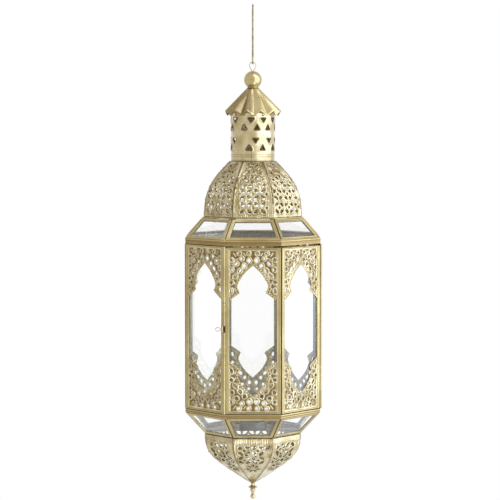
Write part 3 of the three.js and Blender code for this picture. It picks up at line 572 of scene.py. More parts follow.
def cap_tree():
    numbers = [
        "Ridge radius", "Ridge drop", "Valley radius", "Valley drop", "Collar radius", "Pleats", "Turn", "Top"]
    tree, given = form_tree("pleated_cap", [(n, "Float") for n in numbers] + [("Material", "Material")])
    calc = partial(maths, tree)
    between = lambda low, high, share: calc("MULTIPLY_ADD", calc("SUBTRACT", high, low), share, low)
    grid = add_node(
        tree, "GeometryNodeMeshGrid",
        {"Size X": 1.0, "Size Y": 1.0, "Vertices X": PLEATS * 16 + 1, "Vertices Y": 15},
    )
    position = add_node(tree, "GeometryNodeInputPosition").outputs[0]
    spot = add_node(tree, "ShaderNodeSeparateXYZ", {0: position}).outputs
    around = calc("MULTIPLY_ADD", spot[0], 2 * math.pi, given["Turn"])
    down = calc("SUBTRACT", 0.5, spot[1])
    phase = calc("MULTIPLY", spot[0], calc("MULTIPLY", given["Pleats"], 2 * math.pi))
    fold = calc("ARCSINE", calc("MULTIPLY", calc("COSINE", phase), FOLD))
    ridge = calc("MULTIPLY_ADD", fold, 0.5 / math.asin(FOLD), 0.5)
    radius = between(given["Valley radius"], given["Ridge radius"], ridge)
    fall = between(given["Valley drop"], given["Ridge drop"], ridge)
    reach = between(given["Collar radius"], radius, down)
    x = calc("MULTIPLY", reach, calc("COSINE", around))
    y = calc("MULTIPLY", reach, calc("SINE", around))
    z = calc("SUBTRACT", given["Top"], calc("MULTIPLY", fall, down))
    place = add_node(tree, "ShaderNodeCombineXYZ", {0: x, 1: y, 2: z}).outputs[0]
    bent = add_node(tree, "GeometryNodeSetPosition", {0: grid.outputs[0], "Position": place}).outputs[0]
    deep = calc("MULTIPLY", calc("POWER", calc("SUBTRACT", 1.0, ridge), 6.0), VALLEY_FILM)
    # painted shade: film on one side of every pleat, besides the film in its valleys
    pleat_shade = clamped(tree, calc("MULTIPLY", calc("SINE", phase), PLEAT_SHADE_SIDE))
    deep = calc("MAXIMUM", deep, calc("MULTIPLY", pleat_shade, PLEAT_SHADE_FILM))
    kept = add_node(
        tree, "GeometryNodeStoreNamedAttribute", {"Geometry": bent, "Name": "recess", "Value": deep},
        data_type="FLOAT", domain="POINT",
    )
    joined = add_node(tree, "GeometryNodeMergeByDistance", {"Geometry": kept.outputs[0], "Distance": 0.00002})
    smooth = add_node(tree, "GeometryNodeSetShadeSmooth", {"Geometry": joined.outputs[0]})
    return finish_tree(tree, smooth.outputs[0], given["Material"])


cap = grown(new_piece("folded_cap", [(0, 0, 0)], [], TURNED_BRASS), cap_tree(), {
    "Ridge radius": CAP_RIDGE[0] * MM, "Ridge drop": CAP_RIDGE[1] * MM,
    "Valley radius": CAP_VALLEY[0] * MM, "Valley drop": CAP_VALLEY[1] * MM,
    "Collar radius": CAP_TOP_R * MM, "Pleats": float(PLEATS),
    "Turn": math.radians(CAP_TURN - 90), "Top": CAP_TOP * MM, "Material": TURNED_BRASS,
})
thick = cap.modifiers.new("sheet", "SOLIDIFY")
thick.thickness, thick.offset = CAP_SHEET * MM, -1
settle(cap, "lantern", "brass_sheet", "pleated_cap")
print("cap:", len(cap.data.polygons), "faces")

# %% [markdown]
# Pierced and embossed sheet is the heart of this lantern. A maker draws the pattern, punches the holes and
# then raises the metal round them. The same order works here: an outline and its holes are filled with
# triangles on a fine grid, each point is lifted by a relief drawn in millimetres, and the flat sheet is
# then laid on its side of the lantern or bent along the dome's curve, and given its thickness last.

# %% Drawing holes
CIRCLE_POINTS = 14
CUT_EDGE_SHADE = 1.3  # recess on the cut edges of a sheet: painted shade, which darkens the rim of every cut


def leaned(x, y, u, v, lean):
    """Points drawn round the origin, leaned by some degrees and moved to (u, v)."""
    c, s = math.cos(math.radians(lean)), math.sin(math.radians(lean))
    return np.c_[u + c * x - s * y, v + s * x + c * y]


def softened(corners, shares):
    """A polygon without its corners: only the points at these shares of each side."""
    return np.array([a * (1 - t) + b * t for a, b in zip(corners, np.roll(corners, -1, 0)) for t in shares])


def round_hole(u, v, width, height=None):
    angles = angles_round(CIRCLE_POINTS)
    return np.c_[u + width / 2 * np.cos(angles), v + (height or width) / 2 * np.sin(angles)]


def leaf_hole(u, v, length, width, lean):
    """A leaf with pointed ends, its long axis leaning by some degrees from the sheet's width."""
    angles = angles_round(CIRCLE_POINTS)
    bow = np.sign(np.sin(angles)) * np.abs(np.sin(angles)) ** 1.1
    return leaned(length / 2 * np.cos(angles), width / 2 * bow, u, v, lean)


def diamond_hole(u, v, width, height, lean):
    corners = np.array([(width / 2, 0), (0, height / 2), (-width / 2, 0), (0, -height / 2)])
    return softened(leaned(*corners.T, u, v, lean), (0.14, 0.5, 0.86))


def inside(loop, points):
    """Which points lie inside a closed loop."""
    x, y = points[:, 0], points[:, 1]
    found = np.zeros(len(points), bool)
    for (x0, y0), (x1, y1) in zip(loop, np.roll(loop, -1, 0)):
        if y0 != y1:
            found ^= ((y0 > y) != (y1 > y)) & (x < x0 + (y - y0) * (x1 - x0) / (y1 - y0))
    return found


def distance(loop, points, closed=True):
    """How far each point is from a line of points."""
    best = np.full(len(points), 1e9)
    loop = np.asarray(loop, float)
    ends = np.roll(loop, -1, 0) if closed else loop[1:]
    for a, b in zip(loop, ends):
        way = b - a
        t = np.clip(((points - a) @ way) / max(way @ way, 1e-12), 0, 1)
        best = np.minimum(best, np.hypot(*(points - a - t[:, None] * way).T))
    return best


def hump(distance_from_line, half_width):
    """A rounded ridge, 1 on its line and 0 from half_width on."""
    x = np.clip(distance_from_line / half_width, 0, 1)
    return (1 - x * x) ** 2


def highest(flat, lines, margin, shape, closed=True):
    """A shape drawn round every line by the distance from it, up to a margin; where two meet, the higher."""
    best = np.zeros(len(flat))
    for line in lines:
        line = np.asarray(line, float)
        near = np.all((flat > line.min(0) - margin) & (flat < line.max(0) + margin), axis=1)
        best[near] = np.maximum(best[near], shape(distance(line, flat[near], closed)))
    return best


def filled(outline, holes, step):
    """Points and triangles of a flat sheet: its outline, its holes and a grid of points in between."""
    outline = np.asarray(outline, float)
    low, high = outline.min(0), outline.max(0)
    rows = np.arange(low[1] + step / 2, high[1], step * 0.866)
    starts = [low[0] + step * (0.5 if i % 2 else 0.9) for i in range(len(rows))]
    grid = np.array([(x, y) for start, y in zip(starts, rows) for x in np.arange(start, high[0], step)])
    keep = inside(outline, grid)
    keep &= distance(outline, grid) > 0.45 * step
    for hole in holes:
        near = np.all((grid > hole.min(0) - step) & (grid < hole.max(0) + step), axis=1)
        near &= keep
        spots = grid[near]
        keep[near] = ~inside(hole, spots) & (distance(hole, spots) > 0.45 * step)
    loops = [outline, *holes]
    points = np.vstack([*loops, grid[keep]])
    edges, start = [], 0
    for loop in loops:
        edges += [(start + i, start + (i + 1) % len(loop)) for i in range(len(loop))]
        start += len(loop)
    made = delaunay_2d_cdt([Vector(p) for p in points], edges, [], 0, 1e-5, False)
    points = np.array([tuple(p) for p in made[0]])
    faces = np.array([f for f in made[2] if len(f) == 3])
    middles = points[faces].mean(1)
    good = inside(outline, middles)
    for hole in holes:
        near = np.all((middles > hole.min(0)) & (middles < hole.max(0)), axis=1) & good
        good[near] &= ~inside(hole, middles[near])
    faces = faces[good]
    used = np.unique(faces)
    fresh = np.full(len(points), -1)
    fresh[used] = np.arange(len(used))
    return points[used], fresh[faces]


def embossed(name, flat, faces, height, film, lay, sheet, material):
    """A flat sheet with its relief, laid by lay(points, height), with its inner side and cut edges."""
    outer, inner = lay(flat, height), lay(flat, height - sheet)
    first = outer[faces]
    normals = np.cross(first[:, 1] - first[:, 0], first[:, 2] - first[:, 0])
    if (normals * (outer - inner)[faces[:, 0]]).sum() < 0:
        faces = faces[:, ::-1]
    count, rim = len(flat), open_edges(faces)
    every = faces.tolist() + (faces[:, ::-1] + count).tolist()
    every += [(b, a, a + count, b + count) for a, b in rim]
    made = new_piece(name, np.vstack([outer, inner]), every, material, smooth=0)
    made.data.shade_smooth()
    at = np.empty(len(made.data.loops), np.int32)
    made.data.loops.foreach_get("vertex_index", at)
    recess = np.r_[film, -0.75 + 0.25 * film][at].astype(np.float32)
    # painted shade on the cut edges
    recess[-4 * len(rim):] = CUT_EDGE_SHADE
    made.data.attributes.new("recess", "FLOAT", "CORNER").data.foreach_set("value", recess)
    corners = {frozenset(edge) for edge in rim} | {frozenset((a + count, b + count)) for a, b in rim}
    for edge in made.data.edges:
        edge.use_edge_sharp = frozenset(edge.vertices) in corners
    return made


def open_edges(faces):
    """The edges that only one face has, each in that face's direction."""
    directed = {(a, b) for face in faces.tolist() for a, b in zip(face, face[1:] + face[:1])}
    return [edge for edge in sorted(directed) if (edge[1], edge[0]) not in directed]


print("a petal has", len(leaf_hole(0, 0, 6, 3, 45)), "points")

# %% [markdown]
# Each side of the body has a pierced sheet that leaves an arched window. The two cusped arches, one above
# and one upside down below, are edged with a twisted rope, and the corners between arch and frame are
# filled with punched holes, each with a raised collar, on a sunk ground.

# %% Fretwork sheets
STILE, RAIL, TUCK = 6.6, 2.9, 3.4
FRET_DEPTH, FRET_SHEET, FRET_STEP = 0.9, 0.6, 0.8
BODY_R = -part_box("body_glass_1")[0].y / MM + 1.8
ARCH = [  # the cusped edge from the window's middle outwards: across, down from the rail
    (0, 23.2), (5.6, 28.4), (11.3, 33.9), (17, 41.9), (20.4, 48.1), (21.8, 52), (21.5, 56),
    (19.8, 60.5), (18.5, 62.7),
]
ARCH_FOOT = 74.4
PUNCHED = [  # kind, across, down from the rail, width, height, lean
    ("round", 20.1, 5.6, 4.4, 3.2, 0), ("round", 6.2, 5.7, 3.6, 3.6, 0), ("round", 16.1, 13.0, 3.8, 4.4, 0),
    ("round", 31.0, 14.8, 4.2, 3.8, 0), ("drop", 5.3, 15.8, 5.6, 7.4, 0), ("round", 23.9, 20.0, 4.6, 4.6, 0),
    ("drop", 12.4, 23.2, 5.2, 6.6, 18), ("leaf", 18.9, 30.4, 6.4, 4.0, 50), ("round", 30.8, 28.8, 4.0, 4.8, 0),
    ("leaf", 25.6, 38.1, 7.4, 3.2, 52), ("round", 31.6, 47.2, 4.4, 4.2, 0), ("leaf", 31.4, 60.0, 6.4, 3.4, 78),
]
PUNCH_WIDER = 1.1
SCROLLS = [  # short raised strokes between the holes, each from one place to another
    ((25.2, 9.5), (28.6, 5.0)), ((11.2, 8.6), (13.4, 5.2)), ((27.2, 24.2), (30.2, 21.0)),
    ((20.2, 12.6), (25.8, 14.4)), ((20.6, 38.6), (23.2, 43.2)), ((27.8, 46.0), (25.2, 51.0)),
    ((26.6, 56.0), (24.4, 60.5)), ((24.8, 65.0), (29.0, 69.5)),
]
ROPE_OUT, ROPE_UP, ROPE_SUNK = 1.5, 1.2, 0.2
ROPE_SPACING, STRAND_LENGTH, STRAND_THICKNESS, STRAND_SLANT = 3.9, 4.7, 2.1, 36


def arch_edge(edge):
    """Half of the window's edge, from the side rail up to the middle, as (across, down)."""
    foot = [np.array((edge, ARCH_FOOT)) * (1 - t) + np.array(ARCH[-1]) * t for t in np.arange(0, 1, 0.08)]
    return [tuple(p) for p in (*foot, *through(ARCH, 1.3)[::-1])]


def spandrel_holes(flip, side):
    """The punched holes of one corner. flip turns a drop from the rail into a height."""
    holes = []
    for kind, u, v, width, height, lean in PUNCHED:
        u, lean, width, height = side * u, side * lean, width * PUNCH_WIDER, height * PUNCH_WIDER
        if kind == "round":
            hole = round_hole(u, v, width, height)
        else:
            hole = (diamond_hole if kind == "drop" else leaf_hole)(u, v, width, height, lean)
        holes.append(np.c_[hole[:, 0], flip(hole[:, 1])])
    return holes


def fret(name, low, high):
    """One side's sheet between two rails, with its relief, and the lines that its ropes follow."""
    edge = BODY_R * FACE - STILE
    wide, reach, base = edge + TUCK, RAIL - 1, -(BODY_R - FRET_DEPTH)
    outline = [(-wide, low - reach), (wide, low - reach), (wide, high + reach), (-wide, high + reach)]
    half = arch_edge(edge)
    across = [(-x, y) for x, y in half] + half[:-1][::-1]
    flips = above, below = lambda v: high - v, lambda v: low + v
    window = np.array([(x, above(y)) for x, y in across] + [(x, below(y)) for x, y in across[::-1]])
    holes = [hole for flip in flips for side in (-1, 1) for hole in spandrel_holes(flip, side)]
    flat, faces = filled(outline, [window, *holes], FRET_STEP)
    mirrored = np.c_[np.abs(flat[:, 0]), np.minimum(high - flat[:, 1], flat[:, 1] - low)]
    to_arch = distance(half, mirrored, closed=False)
    to_frame = np.minimum(edge - mirrored[:, 0], mirrored[:, 1])
    collars = highest(mirrored, spandrel_holes(lambda v: v, 1), 3, lambda d: hump(np.abs(d - 1.15), 1.25))
    strokes = highest(mirrored, SCROLLS, 2, lambda d: hump(d, 1.1), closed=False)
    ground = np.clip((to_arch - 3.4) / 1.0, 0, 1) * np.clip((to_frame - 1.4) / 1.0, 0, 1)
    ripple = 0.05 * np.sin(flat[:, 0] * 1.7 + 1.3 * np.sin(flat[:, 1] * 0.9)) * np.sin(flat[:, 1] * 1.9)
    height = -0.5 * ground + 1.35 * collars * (0.4 + 0.6 * ground) + 0.9 * strokes * ground + ripple
    height += 0.45 * hump(np.abs(to_arch - 0.5), 0.7)
    height = np.minimum(height, FRET_DEPTH - 0.05)
    height[(to_frame < 0) | (np.abs(flat[:, 0]) > edge)] = 0
    film = np.clip(ground * (1 - 1.35 * np.maximum(collars, 0.8 * strokes)), 0, 1) * 0.9
    film = np.maximum(film, 0.85 * np.clip((to_arch - 0.5) / 0.4, 0, 1) * np.clip((3.6 - to_arch) / 0.6, 0, 1))
    film = np.maximum(film, 0.5 * np.clip(1 - np.abs(to_frame) / 0.9, 0, 1))
    lay = lambda p, h: np.c_[p[:, 0], base - h, p[:, 1]]
    made = embossed(name, flat, faces, height, film, lay, FRET_SHEET, SHEET_BRASS)
    beside = arch_edge(edge - 0.6)
    return made, [
        [(side * (x + ROPE_OUT), base + ROPE_SUNK, flip(y - ROPE_UP)) for x, y in beside]
        for flip in flips for side in (-1, 1)
    ]


def rope_tree():
    """Short slanting strands, one after another along each line, which read as twisted wire."""
    numbers = ("Spacing", "Length", "Thickness", "Slant")
    tree, given = form_tree("rope_edging", [(n, "Float") for n in numbers] + [("Material", "Material")])
    curve = add_node(tree, "GeometryNodeMeshToCurve", {0: given["Geometry"]}).outputs[0]
    steps = add_node(
        tree, "GeometryNodeResampleCurve", {"Curve": curve, "Length": given["Spacing"]}, mode="LENGTH")
    way = add_node(tree, "GeometryNodeInputTangent").outputs[0]
    slanted = add_node(
        tree, "ShaderNodeVectorRotate", {"Vector": way, "Axis": (0.0, -1.0, 0.0), "Angle": given["Slant"]},
        rotation_type="AXIS_ANGLE",
    )
    aim = add_node(tree, "FunctionNodeAlignRotationToVector", {"Vector": slanted.outputs[0]}, axis="X")
    strand = add_node(tree, "GeometryNodeMeshUVSphere", {"Segments": 8, "Rings": 5, "Radius": 0.5})
    smooth = add_node(tree, "GeometryNodeSetShadeSmooth", {"Geometry": strand.outputs[0]})
    size = {0: given["Length"], 1: given["Thickness"], 2: given["Thickness"]}
    strands = add_node(tree, "GeometryNodeInstanceOnPoints", {
        "Points": steps.outputs[0], "Instance": smooth.outputs[0], "Rotation": aim.outputs[0],
        "Scale": add_node(tree, "ShaderNodeCombineXYZ", size).outputs[0]})
    return finish_tree(tree, strands.outputs[0], given["Material"])


ROPE_TREE = rope_tree()


def rope(name, lines, material):
    points, edges = [], []
    for line in lines:
        edges += [(len(points) + i, len(points) + i + 1) for i in range(len(line) - 1)]
        points += line
    return grown(new_piece(name, points, [], material, smooth=0, edges=edges), ROPE_TREE, {
        "Spacing": ROPE_SPACING * MM, "Length": STRAND_LENGTH * MM, "Thickness": STRAND_THICKNESS * MM,
        "Slant": math.radians(STRAND_SLANT), "Material": material})


def fret_group(label, sides, low, high, body):
    nodes = [f"fret_panel_{side + 1}" for side in sides]
    sheet, lines = fret("fret_sheet_" + label, low, high)
    edging = rope("fret_rope_" + label, lines, SHEET_BRASS)
    settle(round_the_lantern(sheet, sides), body, "brass_sheet", *nodes)
    settle(round_the_lantern(edging, sides), body, "brass_sheet")
    print(label, len(sheet.data.polygons), "faces,", len(edging.data.polygons), "in its ropes")


BODY_TOP, BODY_FOOT = top_of("body_frame"), foot_of("body_frame")
DOOR_TOP, DOOR_FOOT = top_of("door_frame"), foot_of("door_frame")
fret_group("door", [0, 1], DOOR_FOOT + RAIL, DOOR_TOP - RAIL, "door")
fret_group("right_to_back", [2, 3, 4], BODY_FOOT + RAIL, BODY_TOP - RAIL, "lantern")
fret_group("back_to_left", [5, 6, 7], BODY_FOOT + RAIL, BODY_TOP - RAIL, "lantern")

# %% [markdown]
# The frame is folded from strip: every side has a shallow channel round its pane, with a bead along its
# edges, and the channels are soldered together at the corners. Solder and film fill the V between two
# neighbours, which is why each corner reads as an orange-brown line between two pale bands. One profile,
# given as a stack of closed loops, makes all of the channels, upright and sloped.

# %% Channels
RING_R = BODY_R - 0.4
SHOULDER_TOP_R = 73.6
BOWL_R = 70.4
END_GAP = 0.3  # between the body's strips and the ring bars above and below them
SLEEVE_R, SLEEVE_BORE_R, SLEEVE_GAP, SLEEVE_ROOM = 1.7, 1.05, 0.5, 2.0
SLEEVE_LIP = [  # radius, in from the end, film
    (SLEEVE_BORE_R, 0, 1), (SLEEVE_R - 0.25, 0, 0.8), (SLEEVE_R - 0.07, 0.07, 0.5), (SLEEVE_R, 0.25, 0.2),
    (SLEEVE_R, 1.2, 0),
]
SLEEVE_SIDES = 20
CHANNEL = [  # share of the stile, share of the rail, depth, film; film -1 is the foot of the strip's wall
    (0, 0, 1, -1), (0, 0, 1.5, 2), (0.07, 0.07, 1.15, 1.9), (0.16, 0.15, 0.6, 1.3), (0.22, 0.2, 0.2, 0.7),
    (0.26, 0.26, 0.05, 0), (0.33, 0.32, 0.04, 0), (0.37, 0.37, 0.2, 0.4), (0.41, 0.42, 0.24, 0.15),
    (0.72, 0.7, 0.22, 0), (0.77, 0.75, 0.42, 0.75), (0.82, 0.8, 0.3, 0.2), (0.88, 0.87, 0.06, 0),
    (0.95, 0.95, 0.14, 0.05), (1, 1, 0.6, 0.4), (1, 1, 1.0, -0.4), (1, 1, 1, -1),
]


def side_plane(low, high):
    """The front side between two rings, each (radius, z): a corner, its way up, its way out, its height."""
    start = np.array((0.0, -low[0], low[1]))
    rise = np.array((0.0, -high[0], high[1])) - start
    length = np.linalg.norm(rise)
    up = rise / length
    return start, up, np.array((0.0, -up[2], up[1])), length


def mitred_loop(plane, stile, rail, depth, clear):
    """The corners of a loop round a side, which stops at the mitre or, where a sleeve runs, clear of it."""
    start, up, out, length = plane
    slant = math.hypot(1, up[1] * FACE)
    corners = []
    for along, side in ((rail, 0), (rail, 1), (length - rail, 1), (length - rail, 0)):
        place = start + up * along - out * depth
        half = -place[1] * FACE - max(stile, clear[side]) * slant
        corners.append(((1 if side else -1) * half, place[1], place[2]))
    return corners


def channel(plane, stile, rail, wall, clear=(0.0, 0.0)):
    """One side's channel as points, faces and film."""
    points, film = [], []
    for share, rail_share, depth, deep in CHANNEL:
        depth = depth if deep > -1 else wall
        points += mitred_loop(plane, stile * share, rail * rail_share, depth, clear)
        film += [deep] * 4
    return np.array(points), stacked(len(CHANNEL), 4, closed=True), film


def turned_points(points, side):
    angle = side * TURN
    c, s = math.cos(angle), math.sin(angle)
    x, y, z = np.asarray(points, float).T
    return np.c_[c * x - s * y, s * x + c * y, z]


def corner_at(number, radius):
    """The corner on the left of a side, seen from outside, at a radius measured as for a side."""
    angle = -math.pi / 2 - TURN / 2 + number * TURN
    return np.array((math.cos(angle), math.sin(angle))) * radius * CORNER


class Heap:
    """Parts of one piece, gathered before they become one mesh."""

    def __init__(self):
        self.points, self.faces, self.film = [], [], []

    def add(self, points, faces, film):
        start = len(self.points)
        self.points += np.asarray(points, float).tolist()
        self.faces += [tuple(start + int(i) for i in face) for face in faces]
        self.film += [film] * len(points) if np.isscalar(film) else list(film)

    def hoop(self, profile, spots):
        """A closed profile of (radius, z, film), led round the (x, y) spots that a radius gives."""
        points, film = [], []
        for r, z, deep in profile:
            ring = [(*spot, z) for spot in spots(r)]
            points += ring
            film += [deep] * len(ring)
        self.add(points, stacked(len(profile), len(ring), closed=True), film)

    def piece(self, name, material):
        made = new_piece(name, self.points, self.faces, material, self.film, smooth=0)
        reworked(made, lambda graph: bmesh.ops.recalc_face_normals(graph, faces=graph.faces))
        made.data.shade_smooth()
        made.data.set_sharp_from_angle(angle=math.radians(40))
        return made


def tube(heap, at, low, high):
    """A rolled sleeve with slightly rounded lips."""
    lips = [(r, low + up, deep) for r, up, deep in SLEEVE_LIP]
    lips += [(r, high - down, deep) for r, down, deep in reversed(SLEEVE_LIP)]
    angles = angles_round(SLEEVE_SIDES)
    heap.hoop(lips, lambda r: [(at[0] + r * math.cos(a), at[1] + r * math.sin(a)) for a in angles])


def slab(heap, a, b, width, z_low, z_high, film=0.4):
    """A small upright plate from a to b in plan."""
    a, b = np.array(a, float), np.array(b, float)
    way = (b - a) / np.linalg.norm(b - a)
    across = np.array((-way[1], way[0])) * width / 2
    plan = [a - across, b - across, b + across, a + across]
    points = [(*p, z) for z in (z_low, z_high) for p in plan]
    heap.add(points, stacked(2, 4) + [(3, 2, 1, 0), (4, 5, 6, 7)], film)


# %% Body and door channels
BODY_WALL = 4.6
LATCH_CORNER, HINGE_CORNER = 0, 2
SLEEVES = {HINGE_CORNER: (42.5, 156), LATCH_CORNER: (81.9, 75.6)}  # down from the body's top, and length
DOOR_SLEEVES = {k: (BODY_TOP - down - length, BODY_TOP - down) for k, (down, length) in SLEEVES.items()}
NOTCH, NOTCH_DEPTH = 10.0, 2.6
NOTCH_MIDDLE = sum(DOOR_SLEEVES[LATCH_CORNER]) / 2
WEB_IN, WEB_START, WEB_LENGTH, WEB_SHEET = 1.0, 0.9, 2.4, 0.7
ANGLE_IN, ANGLE_WIDTH, ANGLE_SHEET = 0.6, 4.5, 0.5  # the folded strip that stands behind a corner


def way_between(number, other):
    way = corner_at(other, BODY_R) - corner_at(number, BODY_R)
    return way / np.linalg.norm(way)


def web(heap, number, side, low, high):
    """The strip that joins a sleeve to the channel of the side next to it."""
    centre = corner_at(number, BODY_R)
    way = way_between(number, number + (1 if side == number else -1))
    start = centre - centre / np.linalg.norm(centre) * WEB_IN + way * WEB_START
    slab(heap, start, start + way * WEB_LENGTH, WEB_SHEET, low, high)


def upright_channels(sides, low, high):
    heap = Heap()
    plane = side_plane((BODY_R, low), (BODY_R, high))
    for side in sides:
        clear = (SLEEVE_ROOM if side in (0, 2) else 0.0, SLEEVE_ROOM if side in (1, 7) else 0.0)
        points, faces, film = channel(plane, STILE, RAIL, BODY_WALL, clear)
        heap.add(turned_points(points, side), faces, film)
    return heap


door = upright_channels([0, 1], DOOR_FOOT, DOOR_TOP)
fixed = upright_channels([2, 3, 4, 5, 6, 7], BODY_FOOT, BODY_TOP)
notch = (NOTCH_MIDDLE - NOTCH / 2, NOTCH_MIDDLE + NOTCH / 2)
for number, (low, high) in DOOR_SLEEVES.items():
    latched = number == LATCH_CORNER
    centre = corner_at(number, BODY_R)
    door_side, fixed_side = (0, 7) if latched else (1, 2)
    for start, end in [(low, notch[0]), (notch[1], high)] if latched else [(low, high)]:
        tube(door, centre, start, end)
        web(door, number, door_side, start, end)
    behind = corner_at(number, BODY_R - BODY_WALL - ANGLE_IN)
    for other in (number - 1, number + 1):
        way = way_between(number, other)
        ends = (BODY_FOOT + END_GAP, BODY_TOP - END_GAP)
        slab(fixed, behind, behind + way * ANGLE_WIDTH, ANGLE_SHEET, *ends, -1.0)
        if latched:
            seat = corner_at(number, BODY_R - NOTCH_DEPTH)
            slab(fixed, seat, seat + way * 1.6, 0.4, notch[0] - 2, notch[1] + 2, 0.6)
    for start, end in ((high + SLEEVE_GAP, BODY_TOP - END_GAP), (BODY_FOOT + END_GAP, low - SLEEVE_GAP)):
        tube(fixed, centre, start, end)
        web(fixed, number, fixed_side, start, end)
settle(door.piece("door_channels", CHANNEL_BRASS), "door", "brass_channel", "door_frame")
settle(fixed.piece("body_channels", CHANNEL_BRASS), "lantern", "brass_channel", "body_frame")
print("door sleeves:", {k: tuple(round(z, 1) for z in v) for k, v in DOOR_SLEEVES.items()})

# %% [markdown]
# Two ring bars of thicker strip carry the sides, one above and one below. Their upper edge is rubbed bright
# and the film sits on the step under it. The sloped channels of the shoulder and of the lower part start
# from these bars, and blobs of solder hold them at the corners.

# %% Ring bars, shoulder and lower frame
SLOPE_STILE, SLOPE_WALL = 5.4, 3.7
RING_GAP, UPPER_BAR, LOWER_BAR = 0.3, 8.1, 5.6
RING_TOP = BODY_TOP + RING_GAP + UPPER_BAR
SHOULDER_TOP = top_of("shoulder_frame")
SHOULDER_LIP = 0.7
RING_FOOT = BODY_FOOT - RING_GAP - LOWER_BAR
BOWL_RING = foot_of("lower_frame")
LEDGE = 1.0
BLOB_RINGS, BLOB_SIDES = 5, 10


def eight_sided(heap, radius, z, profile):
    """A bar led round the eight corners. Its profile is (out, up, film), measured from (radius, z)."""
    rows = [(radius + out, z + up, deep) for out, up, deep in profile]
    heap.hoop(rows, lambda r: [corner_at(k, r) for k in range(SIDES)])


def solder(heap, radius, z, size, rng):
    """Small flattened blobs in the eight corners, each a little different."""
    ball = [(math.sin(a), math.cos(a), 0.0) for a in np.linspace(0, math.pi, BLOB_RINGS + 1)]
    points, faces, film = lathe(ball, BLOB_SIDES)
    for k in range(SIDES):
        stretch = size * rng.uniform(0.8, 1.2, 3)
        heap.add(np.array(points) * stretch + (*corner_at(k, radius), z), faces, film)


def sloped_channels(heap, low, high):
    """The eight sloped channels between two rings, and how deep their wall is, measured level."""
    plane = side_plane(low, high)
    points, faces, film = channel(plane, SLOPE_STILE, SLOPE_STILE, SLOPE_WALL)
    for side in range(SIDES):
        heap.add(turned_points(points, side), faces, film)
    return SLOPE_WALL / plane[1][2]


rng = np.random.default_rng(11)
shoulder = Heap()
wall = sloped_channels(shoulder, (RING_R, RING_TOP), (SHOULDER_TOP_R, SHOULDER_TOP - SHOULDER_LIP))
eight_sided(shoulder, SHOULDER_TOP_R, SHOULDER_TOP, [
    (-wall, -SHOULDER_LIP - 0.6, 1), (-0.2, -SHOULDER_LIP - 0.4, 0.9), (0, -0.5, 0.4), (-0.1, -0.1, 0),
    (-0.4, 0, 0), (-wall, 0, 0.5),
])
eight_sided(shoulder, RING_R, RING_TOP, [
    (-6, -UPPER_BAR, -1), (-0.7, -UPPER_BAR, 0.9), (-0.3, 0.4 - UPPER_BAR, 0.5), (-0.45, 1.1 - UPPER_BAR, 0.75),
    (-0.45, -2.9, 0.95), (-0.5, -2.3, 1), (-0.1, -1.9, 0.3), (0, -1.3, 0), (-0.05, -0.4, 0), (-0.5, 0, 0.1),
    (-2.5, -0.6, 0.8), (-wall, -0.8, -1),
])
solder(shoulder, RING_R - 1.9, RING_TOP, (1.8, 1.8, 1.4), rng)
settle(shoulder.piece("shoulder_channels", CHANNEL_BRASS), "lantern", "brass_channel", "shoulder_frame")

lower = Heap()
wall = sloped_channels(lower, (BOWL_R, BOWL_RING), (RING_R, RING_FOOT))
eight_sided(lower, RING_R, RING_FOOT, [
    (-wall, 0.2, -1), (-0.7, 0.1, 0.9), (-0.1, 0.5, 0.4), (0, 1.2, 0.1), (-0.1, 1.9, 0.5), (-0.5, 2.2, 1),
    (-0.5, 3.0, 0.9), (-0.1, 3.3, 0.4), (0, 3.9, 0.1), (-0.1, LOWER_BAR - 0.3, 0.2), (-0.6, LOWER_BAR, 0.8),
    (-6, LOWER_BAR, -1),
])
eight_sided(lower, BOWL_R, BOWL_RING, [
    (-0.1, 0, 0.9), (-9, 0, -0.6), (-9, LEDGE, -1), (1 - wall, LEDGE, -0.8), (1 - wall, LEDGE + 1.2, -0.8),
    (-1.2, LEDGE + 0.5, 1),
])
solder(lower, RING_R - 1.8, RING_FOOT + 0.4, (1.7, 1.7, 1.4), rng)
solder(lower, BOWL_R - 0.5, BOWL_RING + 0.7, (1.1, 1.1, 1.0), rng)
settle(lower.piece("lower_channels", CHANNEL_BRASS), "lantern", "brass_channel", "lower_frame")
print("shoulder from", round(RING_TOP, 1), "to", round(SHOULDER_TOP, 1), "mm")
print("bowl ring at", round(BOWL_RING, 1), "mm")

# %% [markdown]
# The latch is one bent wire. Its two ends run up and down inside the sleeves at the front corner, and its
# middle comes out through a notch as a loop to pull. Each end is a body of its own here, so it is a rod of
# its own.

# %% Hinge pin and latch
PIN_R = 0.75


def upright_rod(name, body, node):
    low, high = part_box(node)
    x, y = (low.x + high.x) / 2 / MM, (low.y + high.y) / 2 / MM
    path = through([(x, y, low.z / MM), (x, y, high.z / MM)], (high.z - low.z) / MM / 12)
    made = new_piece(name, *rod(path, rounded_ends(len(path), PIN_R, 1), 14), WIRE_BRASS)
    return settle(made, body, "brass_wire", node)


upright_rod("hinge_rod", "lantern", "hinge_pin")
upright_rod("latch_end_upper", "latch_upper", "latch_bolt_upper")
upright_rod("latch_end_lower", "latch_lower", "latch_bolt_lower")
x, y = corner_at(LATCH_CORNER, BODY_R)
upper = [(1.8, 4.25), (2.1, 2.75), (3.0, 0.8), (6.5, 1.75), (9.95, 2.7)]
around = [*upper, (12.65, 0), *[(u, -w) for u, w in reversed(upper)]]
path = through([(x - u, y, NOTCH_MIDDLE + w) for u, w in around], 0.5)
pull = new_piece("latch_loop", *rod(path, rounded_ends(len(path), PIN_R, 2), 14), BRIGHT_WIRE)
settle(pull, "latch_pull", "brass_wire", "latch_pull")
print("latch at", round(NOTCH_MIDDLE, 1), "mm")

